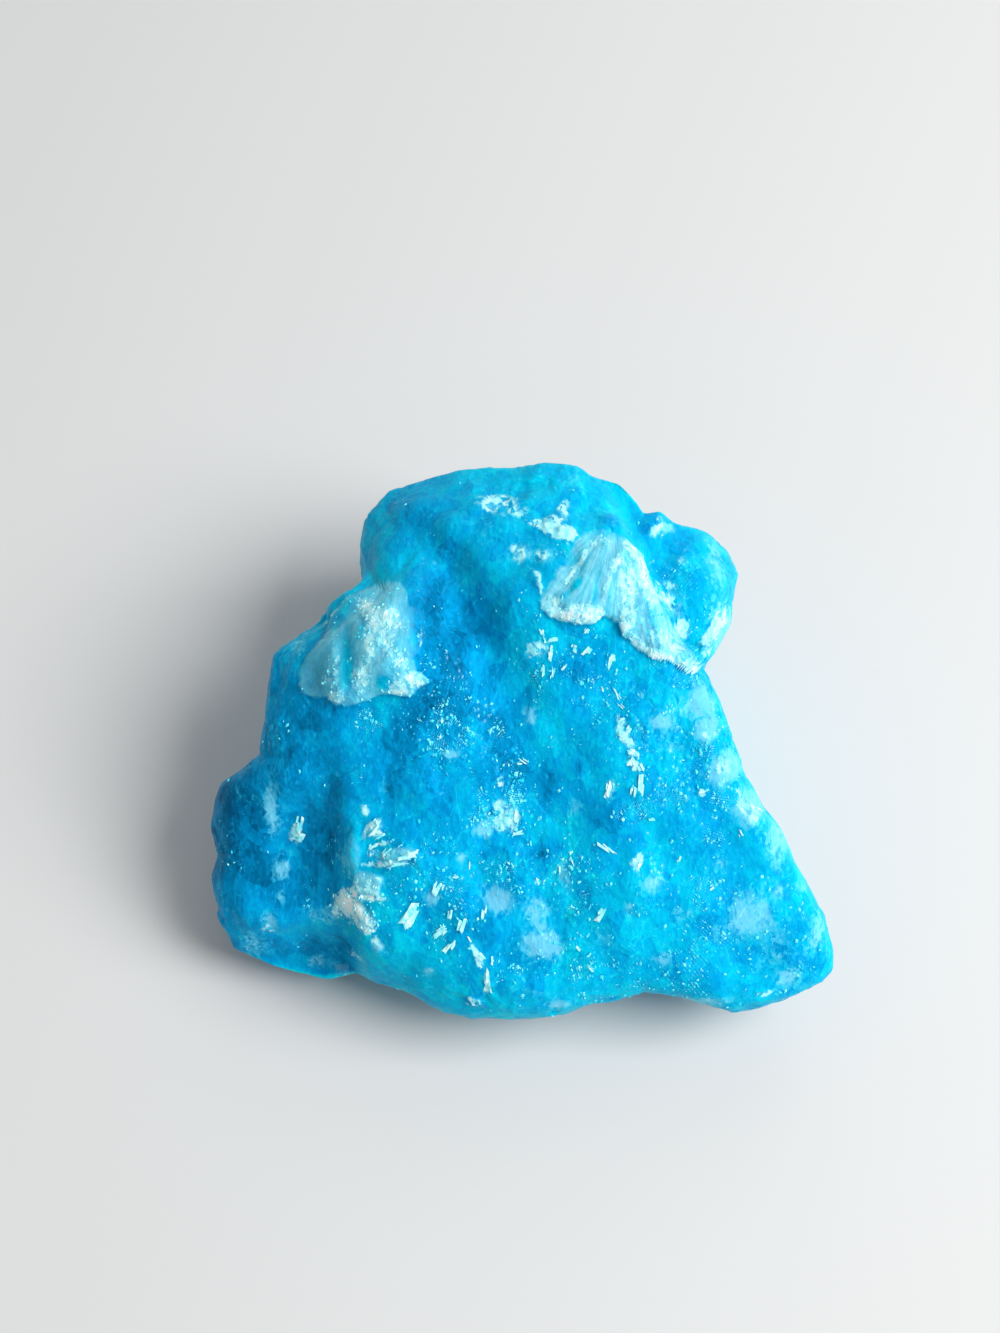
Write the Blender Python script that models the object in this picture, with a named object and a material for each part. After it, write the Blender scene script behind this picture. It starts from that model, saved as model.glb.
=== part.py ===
"""A rough chunk of sky blue hemimorphite, 32 mm wide: a sugary mass with crusts of white radiating fibres.

The stone is described on its broad broken face, which leans back from the table. There across runs to the
right, slope runs up the face and out stands straight out of the face. All of these are in millimetres.
The last step turns them into the resting pose, in metres, with the origin on the table under the stone.
"""

import math

import bmesh
import bpy
import numpy as np

MM = 0.001

# Driving sizes
FACE_LEAN = math.radians(28)  # angle between the broad face and the table
FACE_HEIGHT = 11.2  # height of the middle of the face above the table
CENTRE_ACROSS = -0.04  # these two put the origin under the middle of the stone's box
CENTRE_BACK = 3.73
FOOT_BACK = -3.2  # the underside narrows down to a point here, below the table
FOOT_DEPTH = 2.6
BELLY = 1.7  # how far the hidden back wall swells out below the rim
NOTCH_TURN = 0.56  # direction of the notch between the fan and the lobe at the back right, in radians
NOTCH_WIDTH = 0.20
NOTCH_PINCH = 2.2  # how far the hidden side is drawn in below that notch
TABLE_CUT = 8.0  # thickness of the block that cuts the flat resting face

# Fineness of the mesh
TURNS = 92  # columns around the stone
RINGS = 52  # rings from the middle of the face, over the rim, to the foot
RIM_SHARE = 0.62  # share of the rings that lie on the face's side of the rim
RIM_CALM = 0.6  # how much weaker the lumps are along the rim, so that it keeps its outline
RIM_WIDTH = 1.5

# The rim as seen when looking straight at the face, anticlockwise: across, slope, out
RIM = (
    (-8.5, 11.7, -7.5), (-8.4, 13.1, -8.0), (-7.0, 14.7, -8.0), (-4.8, 15.3, -7.5), (-2.6, 15.8, -7.0),
    (-0.5, 15.8, -6.5), (3.1, 16.0, -6.0), (3.9, 15.4, -6.0), (5.3, 14.9, -6.0), (6.1, 14.1, -6.0),
    (6.6, 13.3, -5.6), (7.5, 13.4, -5.6), (8.3, 12.8, -6.0), (9.9, 12.4, -6.6), (11.1, 11.4, -7.0),
    (11.7, 10.1, -7.0), (11.4, 8.7, -6.6), (11.2, 7.4, -5.8), (10.2, 6.0, -4.4), (9.4, 5.2, -2.6),
    (10.0, 4.2, -2.0), (10.3, 3.4, -2.0), (10.7, 2.2, -2.0), (11.5, -0.4, -2.0), (12.5, -2.1, -2.0),
    (13.4, -3.2, -2.0), (14.0, -4.7, -2.0), (15.2, -7.0, -2.0), (15.6, -7.9, -2.0), (16.0, -10.3, -2.0),
    (15.6, -11.0, -2.0), (13.3, -12.1, -2.0), (11.0, -12.6, -2.0), (8.4, -11.8, -1.6), (6.4, -11.5, -1.6),
    (3.6, -12.2, -2.0), (2.1, -12.7, -2.0), (0.0, -12.8, -2.0), (-3.8, -12.3, -2.0), (-5.9, -11.2, -2.6),
    (-8.5, -10.6, -3.5), (-10.1, -11.0, -4.0), (-12.0, -10.7, -4.2), (-14.8, -9.5, -4.5), (-15.6, -7.8, -4.6),
    (-15.9, -6.0, -4.7), (-15.6, -4.7, -4.7), (-16.0, -3.1, -4.7), (-15.6, -1.0, -4.5), (-14.2, 0.1, -4.0),
    (-13.4, 0.6, -3.6), (-13.3, 2.2, -3.6), (-13.1, 4.2, -4.0), (-12.8, 5.8, -4.5), (-11.7, 6.6, -4.5),
    (-10.4, 7.5, -4.4), (-9.9, 8.4, -4.0), (-9.0, 9.0, -3.6), (-8.2, 9.7, -4.4), (-8.1, 10.5, -6.0),
)

# The broad face: a shallow dome that falls off to the left, and a top that falls away to the back
FACE_SUMMIT = (1.0, -3.0)
FACE_SWELL = 0.5
FACE_CURVE = 0.004
LEFT_START = 4.0
LEFT_FALL = 0.045
TOP_START = 10.4
TOP_PITCH = 0.75
TOP_TWIST = 0.42
BEHIND_FAN_DROP = 2.9

# Hills and hollows on it: height, place (across, slope), half widths, turned by degrees
HILLS = (
    (0.5, (9.0, -7.0), (5.0, 4.0), 0),  # low swell in the lower right
    (0.5, (-1.0, -9.0), (4.0, 3.0), 0),  # low swell along the front edge
    (-0.5, (0.5, -1.5), (3.0, 4.5), 23),  # dip in the middle
    (1.6, (-4.2, 13.0), (3.4, 2.4), 0),  # rounded lobe at the back left
    (-1.7, (-3.0, 8.8), (3.6, 1.5), 118),  # groove between that lobe, the shoulder and the fan
    (-0.9, (-1.2, 5.0), (2.2, 2.6), 0),  # where the groove runs out on the face
    (0.9, (-7.6, 6.6), (3.2, 3.0), 0),  # shoulder on the left
    (1.1, (9.6, 9.6), (1.9, 2.6), 0),  # lobe at the back right
    (0.9, (7.3, 12.9), (0.8, 0.8), 0),  # small knob at the back
)

# The hollow facet at the lower left, the ridge it steps down from and the ledge under it
RIDGE_ACROSS = -8.6
HOLLOW_OUT = -1.1
HOLLOW_DEPTH = 1.1
LEDGE_OUT = -1.5
LEDGE_SLOPE = -7.2
LEDGE_PITCH = 0.9

# Crusts of white fibres: outline on the face (across, slope), and how far each stands above the mass
FAN_OUTLINE = (
    (8.9, 5.0), (8.8, 5.6), (8.3, 6.4), (7.6, 7.3), (7.0, 8.6), (6.7, 10.2), (6.1, 11.5), (5.2, 11.9),
    (4.0, 11.7), (2.6, 10.6), (1.3, 9.1), (1.6, 7.7), (3.0, 7.3), (4.4, 7.5), (5.2, 6.5), (6.3, 5.7),
    (7.6, 5.4),
)
FAN_MIDDLE = (4.9, 8.7)
FAN_LIFT = 1.1
SHOULDER_OUTLINE = (
    (-4.7, 6.6), (-4.8, 7.7), (-5.5, 8.6), (-6.0, 9.5), (-7.4, 9.7), (-8.9, 9.0), (-9.9, 8.2), (-11.2, 6.2),
    (-11.3, 5.1), (-10.5, 3.8), (-9.0, 3.3), (-7.4, 3.5), (-5.5, 3.8), (-4.6, 4.4), (-5.2, 5.4),
)
SHOULDER_MIDDLE = (-7.7, 6.3)
SHOULDER_LIFT = 1.2
KNOT_OUTLINE = (
    (-4.9, -5.0), (-5.6, -3.7), (-6.6, -2.5), (-7.6, -1.7), (-8.3, -2.6), (-8.7, -4.4), (-9.0, -6.1),
    (-8.6, -7.2), (-7.4, -8.2), (-6.7, -7.2), (-6.9, -6.2), (-5.9, -5.8),
)
KNOT_MIDDLE = (-7.4, -5.2)
KNOT_LIFT = 0.55
CRUST_DEPTH = 4.2  # how deep a crust reaches into the mass
CRUST_ROOT = 0.72  # its width there, against its width on top
CRUST_RINGS = 14  # rings over and under each crust


def clear_scene():
    for item in list(bpy.data.objects):
        bpy.data.objects.remove(item, do_unlink=True)


def step(value, low, high):
    """0 below low and 1 above high, with a smooth run between."""
    share = np.clip((value - low) / (high - low), 0.0, 1.0)
    return share * share * (3.0 - 2.0 * share)


def hill(across, slope, at, size, turned=0.0):
    """A round hill of height 1 at a place on the face, with half widths size along its own turned axes."""
    right = across - at[0]
    up = slope - at[1]
    along = right * math.cos(turned) + up * math.sin(turned)
    aside = up * math.cos(turned) - right * math.sin(turned)
    return np.exp(-((along / size[0]) ** 2) - (aside / size[1]) ** 2)


def lower_of(first, second, blend):
    """The lower of two surfaces, rounded where they cross."""
    mix = np.clip(0.5 + 0.5 * (second - first) / blend, 0.0, 1.0)
    return second * (1.0 - mix) + first * mix - blend * mix * (1.0 - mix)


def lattice(cells):
    """A repeatable random number from 0 to 1 for each whole-number cell."""
    spread = cells @ np.array([127.1, 311.7, 74.7])
    return np.modf(np.abs(np.sin(spread) * 43758.5453))[0]


def noise(points, size):
    """Smooth noise from -1 to 1: random values on a cubic lattice of the given size, blended between them."""
    scaled = points / size
    cell = np.floor(scaled)
    part = scaled - cell
    part = part * part * (3.0 - 2.0 * part)
    total = np.zeros(len(points))
    for corner in np.ndindex(2, 2, 2):
        offset = np.array(corner, float)
        weight = np.prod(np.where(offset == 1.0, part, 1.0 - part), axis=1)
        total += weight * lattice(cell + offset)
    return 2.0 * total - 1.0


def grains(points, size):
    """Distance, in grain sizes, from each point to the nearest seed. Each cell of a lattice has one seed."""
    scaled = points / size
    cell = np.floor(scaled)
    nearest = np.full(len(points), 9.0)
    for corner in np.ndindex(3, 3, 3):
        near = cell + np.array(corner, float) - 1.0
        seed = near + np.stack([lattice(near), lattice(near + 37.0), lattice(near + 71.0)], axis=1)
        nearest = np.minimum(nearest, np.linalg.norm(seed - scaled, axis=1))
    return nearest


def face_relief(across, slope):
    """How far the broken surface stands out of the plane of the face, before the rim rounds it off."""
    middle_across, middle_slope = FACE_SUMMIT
    face = FACE_SWELL - FACE_CURVE * ((across - middle_across) ** 2 + (slope - middle_slope) ** 2)
    face -= LEFT_FALL * np.maximum(-across - LEFT_START, 0.0) ** 1.5
    top = TOP_PITCH * (TOP_START - slope) + TOP_TWIST * np.minimum(across - 1.5, 0.0)
    surface = lower_of(face, top, 1.6)
    for height, at, size, turned in HILLS:
        surface += height * hill(across, slope, at, size, math.radians(turned))

    # Behind the fan the surface drops to the lobe at the back right
    behind_fan = step(across + 0.35 * (slope - 8.0), 6.4, 8.0) * step(slope, 5.6, 6.8)
    surface -= BEHIND_FAN_DROP * behind_fan

    # The lower left steps down to a hollow facet, which turns under along its lower edge
    ridge = RIDGE_ACROSS - 0.16 * (slope + 5.0) + 0.55 * hill(slope, slope, (-1.5, -1.5), (2.6, 2.6))
    left_of_ridge = step(ridge - across, -0.3, 1.3) * step(-slope, -2.2, 2.6)
    hollow = HOLLOW_OUT + 0.10 * (across + 9.0)
    hollow -= HOLLOW_DEPTH * hill(across, slope, (-11.8, -4.6), (3.0, 3.6))
    ledge = LEDGE_OUT + LEDGE_PITCH * (slope - LEDGE_SLOPE)
    facet = lower_of(hollow, ledge, 0.7)
    return surface * (1.0 - left_of_ridge) + facet * left_of_ridge


def rim_at(turn):
    """How far the rim lies from the middle of the face in each direction, and how far out of the face."""
    rim = np.array(RIM)
    angle = np.arctan2(rim[:, 1], rim[:, 0])
    order = np.argsort(angle)
    far = np.interp(turn, angle[order], np.hypot(rim[:, 0], rim[:, 1])[order], period=2.0 * math.pi)
    out = np.interp(turn, angle[order], rim[order, 2], period=2.0 * math.pi)
    return far, out


def skin(across, slope):
    """How far the mass stands out at a place on the face: the relief, rounded off towards the rim."""
    far, rim_out = rim_at(np.arctan2(slope, across))
    reach = np.clip(np.hypot(across, slope) / far, 0.0, 1.0)
    # Crisp where the face ends in a broken edge on the right, rounder over the lobes at the back
    crisp = 9.0 + 9.0 * step(across - 0.6 * slope, 3.0, 11.0) - 5.0 * step(slope, 6.0, 12.0)
    rounding = np.sqrt(1.0 - reach**crisp)
    return rim_out + (face_relief(across, slope) - rim_out) * rounding


def resting(across, slope, out):
    """Turns places on the leaning face into x, y and z over the table."""
    back = slope * math.cos(FACE_LEAN) - out * math.sin(FACE_LEAN) - CENTRE_BACK
    height = FACE_HEIGHT + slope * math.sin(FACE_LEAN) + out * math.cos(FACE_LEAN)
    return np.stack([across - CENTRE_ACROSS, back, height], axis=1)


def upper_side(turn, reach):
    """The side that the face shows: reach runs from 0 in the middle to 1 on the rim."""
    far = rim_at(turn)[0] * reach
    across = far * np.cos(turn)
    slope = far * np.sin(turn)
    return resting(across, slope, skin(across, slope))


def calmed(turn):
    """The rim's reach averaged over a wide arc, so that what sticks out fades away further down."""
    arc = np.radians(np.linspace(-32.0, 32.0, 17))
    rims = [rim_at(turn + shift) for shift in arc]
    far = np.minimum(np.mean([rim[0] for rim in rims], axis=0), rim_at(turn)[0])
    out = np.mean([rim[1] for rim in rims], axis=0)
    return resting(far * np.cos(turn), far * np.sin(turn), out)


def under_side(turn, drop):
    """The hidden side: drop runs from 0 on the rim to 1 at the foot, steep behind and undercut in front."""
    far, rim_out = rim_at(turn)
    rim = resting(far * np.cos(turn), far * np.sin(turn), rim_out)
    foot = np.array([0.0, FOOT_BACK, -FOOT_DEPTH])
    steep = 1.15 + 1.05 * step(np.sin(turn), -0.45, 0.8) + 0.30 * np.abs(np.cos(turn))
    calm = step(drop, 0.0, 0.28)[:, None]
    side = rim * (1.0 - calm) + calmed(turn) * calm
    places = side + (foot - side) * (drop**steep)[:, None]
    swell = BELLY * step(np.sin(turn), 0.75, 0.97)
    swell -= NOTCH_PINCH * np.exp(-(((turn - NOTCH_TURN) / NOTCH_WIDTH) ** 2))
    swell *= np.sin(math.pi * np.minimum(1.7 * drop, 1.0))
    places[:, 0] += swell * np.cos(turn)
    places[:, 1] += swell * np.sin(turn)
    places[:, 2] = rim[:, 2] + (foot[2] - rim[:, 2]) * (1.0 - (1.0 - drop) ** steep)
    return places


def new_object(name, mesh, collection):
    item = bpy.data.objects.new(name, mesh)
    collection.objects.link(item)
    return item


def ball_mesh(turns, rings, place_ball):
    """A sphere whose points are moved by a function of their direction and of their way down from the top."""
    shape = bmesh.new()
    bmesh.ops.create_uvsphere(shape, u_segments=turns, v_segments=rings, radius=1.0)
    ball = np.array([vertex.co[:] for vertex in shape.verts], float)
    turn = np.arctan2(ball[:, 1], ball[:, 0])
    way_down = np.arccos(np.clip(ball[:, 2], -1.0, 1.0)) / math.pi
    for vertex, place in zip(shape.verts, place_ball(turn, way_down)):
        vertex.co = place * MM
    bmesh.ops.triangulate(shape, faces=shape.faces[:])
    shape.normal_update()
    return shape


def finish_mesh(name, shape):
    mesh = bpy.data.meshes.new(name)
    shape.to_mesh(mesh)
    shape.free()
    mesh.shade_smooth()
    mesh.set_sharp_from_angle(angle=math.radians(35))
    return mesh


def mass_places(turn, way_down):
    """The upper half of the sphere is drawn over the broken face, the lower half makes the hidden side."""
    reach = 1.0 - (1.0 - np.clip(way_down / RIM_SHARE, 0.0, 1.0)) ** 1.35
    drop = np.clip((way_down - RIM_SHARE) / (1.0 - RIM_SHARE), 0.0, 1.0)
    is_upper = (way_down <= RIM_SHARE)[:, None]
    return np.where(is_upper, upper_side(turn, reach), under_side(turn, drop))


def mass_mesh():
    """The mass, with its lumps and grains raised along its own normals."""
    shape = ball_mesh(TURNS, RINGS, mass_places)
    places = np.array([vertex.co[:] for vertex in shape.verts], float)
    outward = np.array([vertex.normal[:] for vertex in shape.verts], float)
    height = surface_lumps(places / MM) * (1.0 - RIM_CALM * near_rim(places / MM))
    places += outward * height[:, None] * MM
    for vertex, place in zip(shape.verts, places):
        vertex.co = place
    return finish_mesh("mass", shape)


def near_rim(places):
    """1 on the rim, fading away over RIM_WIDTH on both sides of it."""
    across = places[:, 0] + CENTRE_ACROSS
    back = places[:, 1] + CENTRE_BACK
    slope = back * math.cos(FACE_LEAN) + (places[:, 2] - FACE_HEIGHT) * math.sin(FACE_LEAN)
    far = rim_at(np.arctan2(slope, across))[0]
    return np.exp(-(((far - np.hypot(across, slope)) / RIM_WIDTH) ** 2))


def surface_lumps(places):
    """Broken lumps a few millimetres across, and rounded grains on them."""
    below = step(-places[:, 2], -9.0, -2.0)
    fixed = places + np.array([CENTRE_ACROSS, CENTRE_BACK, 0.0])
    lumps = (0.30 + 0.45 * below) * noise(fixed + 11.0, 5.2) + 0.20 * noise(fixed + 50.0, 2.4)
    return lumps + 0.42 * (0.55 - grains(fixed, 2.2))


def crust_mesh(name, outline, middle, lift):
    """A plate over the mass: it follows the face at its own height, and reaches down into the mass."""
    edge = np.array(outline) - np.array(middle)
    angle = np.arctan2(edge[:, 1], edge[:, 0])
    order = np.argsort(angle)
    far_out = np.hypot(edge[:, 0], edge[:, 1])[order]

    def crust_places(turn, way_down):
        is_skin = way_down <= 0.5
        reach = np.where(is_skin, 2.0 * way_down, 2.0 * CRUST_ROOT * (1.0 - way_down))
        far = reach * np.interp(turn, angle[order], far_out, period=2.0 * math.pi)
        across = middle[0] + far * np.cos(turn)
        slope = middle[1] + far * np.sin(turn)
        lumps = 0.18 * noise(np.stack([across, slope, 0.0 * slope], axis=1), 1.3)
        height = np.where(is_skin, lift * (1.0 - 0.45 * reach**4) + lumps, -CRUST_DEPTH)
        return resting(across, slope, skin(across, slope) + height)

    return finish_mesh(name, ball_mesh(2 * len(outline), CRUST_RINGS, crust_places))


def table_block():
    """The block below the table's plane that cuts the stone's flat resting face."""
    side = 60.0 * MM
    bpy.ops.mesh.primitive_cube_add(size=1.0, location=(0.0, 0.0, -0.5 * TABLE_CUT * MM))
    block = bpy.context.active_object
    block.name = "table_block"
    block.scale = (side, side, TABLE_CUT * MM)
    return block


def join_with(item, other, operation):
    cut = item.modifiers.new(other.name, "BOOLEAN")
    cut.operation = operation
    cut.solver = "EXACT"
    cut.object = other


def hide_guide(item, guides):
    for home in list(item.users_collection):
        home.objects.unlink(item)
    guides.objects.link(item)
    item.hide_render = True
    item.display_type = "WIRE"


def blue_mineral():
    """Translucent turquoise, the colour of copper-bearing hemimorphite."""
    material = bpy.data.materials.new("blue_hemimorphite")
    material.use_nodes = True
    shader = material.node_tree.nodes["Principled BSDF"]
    shader.inputs["Base Color"].default_value = (0.01, 0.46, 0.70, 1.0)
    shader.inputs["Roughness"].default_value = 0.38
    shader.inputs["Metallic"].default_value = 0.0
    shader.inputs["IOR"].default_value = 1.62
    return material


def build():
    clear_scene()
    stone = bpy.data.collections.new("hemimorphite")
    guides = bpy.data.collections.new("cutters")
    bpy.context.scene.collection.children.link(stone)
    bpy.context.scene.collection.children.link(guides)

    mass = new_object("hemimorphite_mass", mass_mesh(), stone)
    mass.data.materials.append(blue_mineral())
    crusts = (
        ("fan_crust", FAN_OUTLINE, FAN_MIDDLE, FAN_LIFT),
        ("shoulder_crust", SHOULDER_OUTLINE, SHOULDER_MIDDLE, SHOULDER_LIFT),
        ("knot_crust", KNOT_OUTLINE, KNOT_MIDDLE, KNOT_LIFT),
    )
    for name, outline, middle, lift in crusts:
        crust = new_object(name, crust_mesh(name, outline, middle, lift), guides)
        hide_guide(crust, guides)
        join_with(mass, crust, "UNION")
    block = table_block()
    hide_guide(block, guides)
    join_with(mass, block, "DIFFERENCE")


build()
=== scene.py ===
"""A rough chunk of sky blue hemimorphite on a pale table: a sugary translucent mass, crusts of white
fibres, bright crystal blades and a dusting of tiny glinting grains."""

import math

import bpy
import numpy as np
from mathutils import Matrix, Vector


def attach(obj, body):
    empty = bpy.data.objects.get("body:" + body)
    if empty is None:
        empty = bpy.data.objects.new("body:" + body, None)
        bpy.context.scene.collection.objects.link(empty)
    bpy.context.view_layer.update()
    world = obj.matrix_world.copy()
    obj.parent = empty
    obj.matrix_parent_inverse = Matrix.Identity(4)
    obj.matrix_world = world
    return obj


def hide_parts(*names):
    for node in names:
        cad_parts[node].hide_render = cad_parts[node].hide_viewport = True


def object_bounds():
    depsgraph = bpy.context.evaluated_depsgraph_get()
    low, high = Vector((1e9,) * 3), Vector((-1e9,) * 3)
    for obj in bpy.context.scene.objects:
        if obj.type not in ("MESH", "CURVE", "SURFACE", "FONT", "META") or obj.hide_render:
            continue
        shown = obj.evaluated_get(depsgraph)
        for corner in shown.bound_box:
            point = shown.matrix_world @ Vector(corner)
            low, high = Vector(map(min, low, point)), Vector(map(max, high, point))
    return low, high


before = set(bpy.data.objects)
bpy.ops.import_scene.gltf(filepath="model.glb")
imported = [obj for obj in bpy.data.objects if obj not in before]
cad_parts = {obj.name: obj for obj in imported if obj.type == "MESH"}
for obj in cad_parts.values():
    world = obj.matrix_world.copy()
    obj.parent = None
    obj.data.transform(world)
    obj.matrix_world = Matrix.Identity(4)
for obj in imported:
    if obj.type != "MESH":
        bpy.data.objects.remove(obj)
cad_low, cad_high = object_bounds()

# The blue mass with its white crusts. Copper-bearing hemimorphite grew in a vein as one body of interlocking
# grains and fibres, and was broken out of it. The broken face leans back, and places on it are given in
# millimetres: across (to the right), slope (up the face) and out (straight out of the face).
MM = 0.001
FACE_LEAN = math.radians(28)
FACE_HEIGHT = 11.2
CENTRE_ACROSS = -0.04
CENTRE_BACK = 3.73
FOOT_BACK = -3.2
FOOT_DEPTH = 2.6
BELLY = 1.7
NOTCH_TURN = 0.56
NOTCH_WIDTH = 0.20
NOTCH_PINCH = 2.2
RIM_CALM = 0.6
RIM_WIDTH = 1.5
MASS_TURNS = 520
FACE_RINGS = 150
SIDE_RINGS = 31
BASE_RINGS = 4
RINGS_CROWD = 1.35
CALM_ARC = 32.0
CRUST_FADE = (FACE_RINGS + 1.0, FACE_RINGS + 5.0)
SEEN_FADE = (FACE_RINGS + 4.0, FACE_RINGS + 16.0)
GRAIN_STRETCH = (1.0, 0.62, 1.0)  # places are pressed together by this, which draws grains out up the slope
# Corners of the rim: across, slope, out
RIM = (
    (-8.5, 11.7, -7.5), (-8.4, 13.1, -8), (-7, 14.7, -8), (-4.8, 15.3, -7.5), (-2.6, 15.8, -7), (-0.5, 15.8, -6.5),
    (3.1, 16, -6), (3.9, 15.4, -6), (5.3, 14.9, -6), (6.1, 14.1, -6), (6.6, 13.3, -5.6), (7.5, 13.4, -5.6),
    (8.3, 12.8, -6), (9.9, 12.4, -6.6), (11.1, 11.4, -7), (11.7, 10.1, -7), (11.4, 8.7, -6.6), (11.2, 7.4, -5.8),
    (10.2, 6, -4.4), (9.4, 5.2, -2.6), (10, 4.2, -2), (10.3, 3.4, -2), (10.7, 2.2, -2), (11.5, -0.4, -2),
    (12.5, -2.1, -2), (13.4, -3.2, -2), (14, -4.7, -2), (15.2, -7, -2), (15.6, -7.9, -2), (16, -10.3, -2),
    (15.6, -11, -2), (13.3, -12.1, -2), (11, -12.6, -2), (8.4, -11.8, -1.6), (6.4, -11.5, -1.6), (3.6, -12.2, -2),
    (2.1, -12.7, -2), (0, -12.8, -2), (-3.8, -12.3, -2), (-5.9, -11.2, -2.6), (-8.5, -10.6, -3.5), (-10.1, -11, -4),
    (-12, -10.7, -4.2), (-14.8, -9.5, -4.5), (-15.6, -7.8, -4.6), (-15.9, -6, -4.7), (-15.6, -4.7, -4.7),
    (-16, -3.1, -4.7), (-15.6, -1, -4.5), (-14.2, 0.1, -4), (-13.4, 0.6, -3.6), (-13.3, 2.2, -3.6), (-13.1, 4.2, -4),
    (-12.8, 5.8, -4.5), (-11.7, 6.6, -4.5), (-10.4, 7.5, -4.4), (-9.9, 8.4, -4), (-9, 9, -3.6), (-8.2, 9.7, -4.4),
    (-8.1, 10.5, -6),
)
# Hills and hollows of the face. Rows: across, slope, half widths, height, degrees turned (0 if left out)
HILLS = (
    (9, -7, 5, 4, 0.5), (-1, -9, 4, 3, 0.5), (0.5, -1.5, 3, 4.5, -0.5, 23), (-4.2, 13, 3.4, 2.4, 1.6),
    (-3, 8.8, 3.6, 1.5, -1.7, 118), (-1.2, 5, 2.2, 2.6, -0.9), (-7.6, 6.6, 3.2, 3, 0.9), (9.6, 9.6, 1.9, 2.6, 1.1),
    (7.3, 12.9, 0.8, 0.8, 0.9),
)
# Pale cloudy places just under the surface; one on the dim left slope of the ridge at the lower left is painted
# light. Rows: across, slope, half widths, strength (1 if left out)
CLOUDS_AND_LIGHT = (
    (9.3, 2, 0.8, 0.8, 0.95), (10.3, 0.1, 1, 0.9, 0.9), (11.5, -1.9, 0.8, 1.1, 0.95), (13, -3.6, 0.9, 1.6, 0.6),
    (14.2, -6, 0.4, 0.5, 0.6), (15, -8.2, 0.6, 1.2, 0.6), (13.6, -10.6, 0.9, 0.7, 0.6), (7.2, 2.4, 0.8, 0.7, 0.72),
    (7.7, 1.2, 0.8, 0.4, 0.45), (6.6, -5.6, 0.8, 0.6, 0.6), (8.1, -7.1, 0.7, 0.6, 0.35), (9.8, -8.2, 0.6, 0.5, 0.45),
    (11.4, -7.4, 1.4, 1.3, 0.7), (12.6, -8.6, 2.6, 2, 0.26), (10, -4.6, 0.7, 0.6, 0.4), (12.9, -6.2, 0.6, 0.8, 0.45),
    (9.1, -11.8, 1.6, 0.4, 0.7), (7.2, -9.4, 0.7, 0.5, 0.42), (4.2, -8.4, 0.7, 0.6, 0.42),
    (-4.5, -10.2, 0.4, 0.4, 0.55), (-1.1, -6.5, 1, 0.8, 0.65), (0.8, -6.9, 0.9, 0.7, 0.6), (1.1, -8.7, 1.1, 0.8, 0.9),
    (1, -7.8, 0.5, 0.5, 0.6), (2.2, -5.2, 0.4, 0.9, 0.6), (0.6, -11, 0.8, 0.4, 0.35), (1.9, -11.8, 0.8, 0.4, 0.55),
    (5.5, -6.9, 0.4, 0.4, 0.4), (-3, -4.4, 0.3, 0.3, 0.5), (-1.9, -3.1, 0.6, 0.5, 0.8), (-3.4, 0.7, 0.5, 0.4, 0.75),
    (0.4, 2.7, 0.4, 0.5, 0.6), (2.7, -1.9, 0.8, 0.6, 0.3), (4.4, -0.9, 0.3, 0.6, 0.5), (-4.4, -6.4, 0.5, 0.5, 0.85),
    (-6.8, -0.8, 0.4, 0.5, 0.35), (7.2, 3, 0.8, 0.5, 0.35), (5.9, 3.8, 0.5, 0.5, 0.4), (9, 3.4, 1.1, 1, 0.75),
    (7.8, 8.3, 0.8, 1.3, 0.55), (7.6, 12.5, 0.7, 0.4, 0.8), (10.6, 6.9, 0.9, 1.6, 0.85), (10.3, 10.4, 0.6, 2, 0.45),
    (0.2, 10.9, 0.7, 0.6, 0.6), (1.3, 10.8, 0.5, 0.6, 0.55), (0.9, 5.8, 0.4, 0.4, 0.6), (-11.5, 6.3, 0.6, 0.5, 0.5),
    (-12.7, -2.1, 0.45, 1.4, 0.65), (-12.3, -5.3, 0.5, 0.6, 0.65), (-12.2, -6.7, 0.3, 0.5, 0.4),
    (-12.8, -8, 0.5, 0.5, 0.6), (-13.9, -9.3, 0.8, 0.8, 0.45), (-10.5, -7.5, 0.4, 0.4, 0.5),
    (-9.2, -10.6, 0.9, 0.3, 0.5), (-10.6, -10.3, 0.5, 0.5, 0.6), (-7.1, -8.9, 0.3, 0.5, 0.7),
    (-8.7, -4.4, 0.45, 1.4, 0.42), (-9.6, -7.4, 0.7, 0.6, 0.45),
)
# Clear places of deeper blue where one looks into the stone. The left side, the lower left hollow and the lit
# slope right of the shoulder are partly painted shade. In the same rows
DEEPS_AND_SHADE = (
    (-1.2, 0.8, 0.8, 1), (1.3, -0.8, 0.5, 1.4), (-5, -1.3, 0.5, 0.6), (-2.8, 2.7, 0.7, 1), (0.8, -4.2, 0.7, 0.4),
    (1.9, -4, 0.5, 0.3), (-2, -4.4, 0.5, 0.4), (-4, -4, 0.4, 0.4), (3.1, 0.2, 0.5, 0.4), (2.6, 5.4, 1.1, 1.2),
    (-3.1, 6.2, 1.5, 2.6, 1.75), (-4.2, 3, 1.7, 2.2, 1.45), (-1.2, 2.6, 1.5, 1.6, 1.1), (-1, 0.2, 1.5, 1.6, 1.25),
    (4.8, -3, 1.6, 1.5, 0.7), (-2.5, -4.5, 3, 4, 0.45), (-1, -9, 1.6, 1.8, 0.6), (-12.6, -6, 1.8, 2, 1.35),
    (-10, -4.2, 1.2, 2.8), (-9.2, 2, 0.8, 1.6), (-6.2, 1.6, 1, 1.2), (5.6, -2.6, 0.6, 0.5), (-14.8, -3.5, 3, 6, 1.6),
    (-12, 2, 4, 4, 1.1), (-2.4, 4.4, 2.4, 3, 0.95), (-5, 12.6, 3.4, 3, 0.55), (-4.4, 8, 1.1, 2.4, 1.85),
    (-6.5, 0, 3.5, 3, 0.85), (9, -3.5, 3, 4, 0.4),
)
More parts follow.
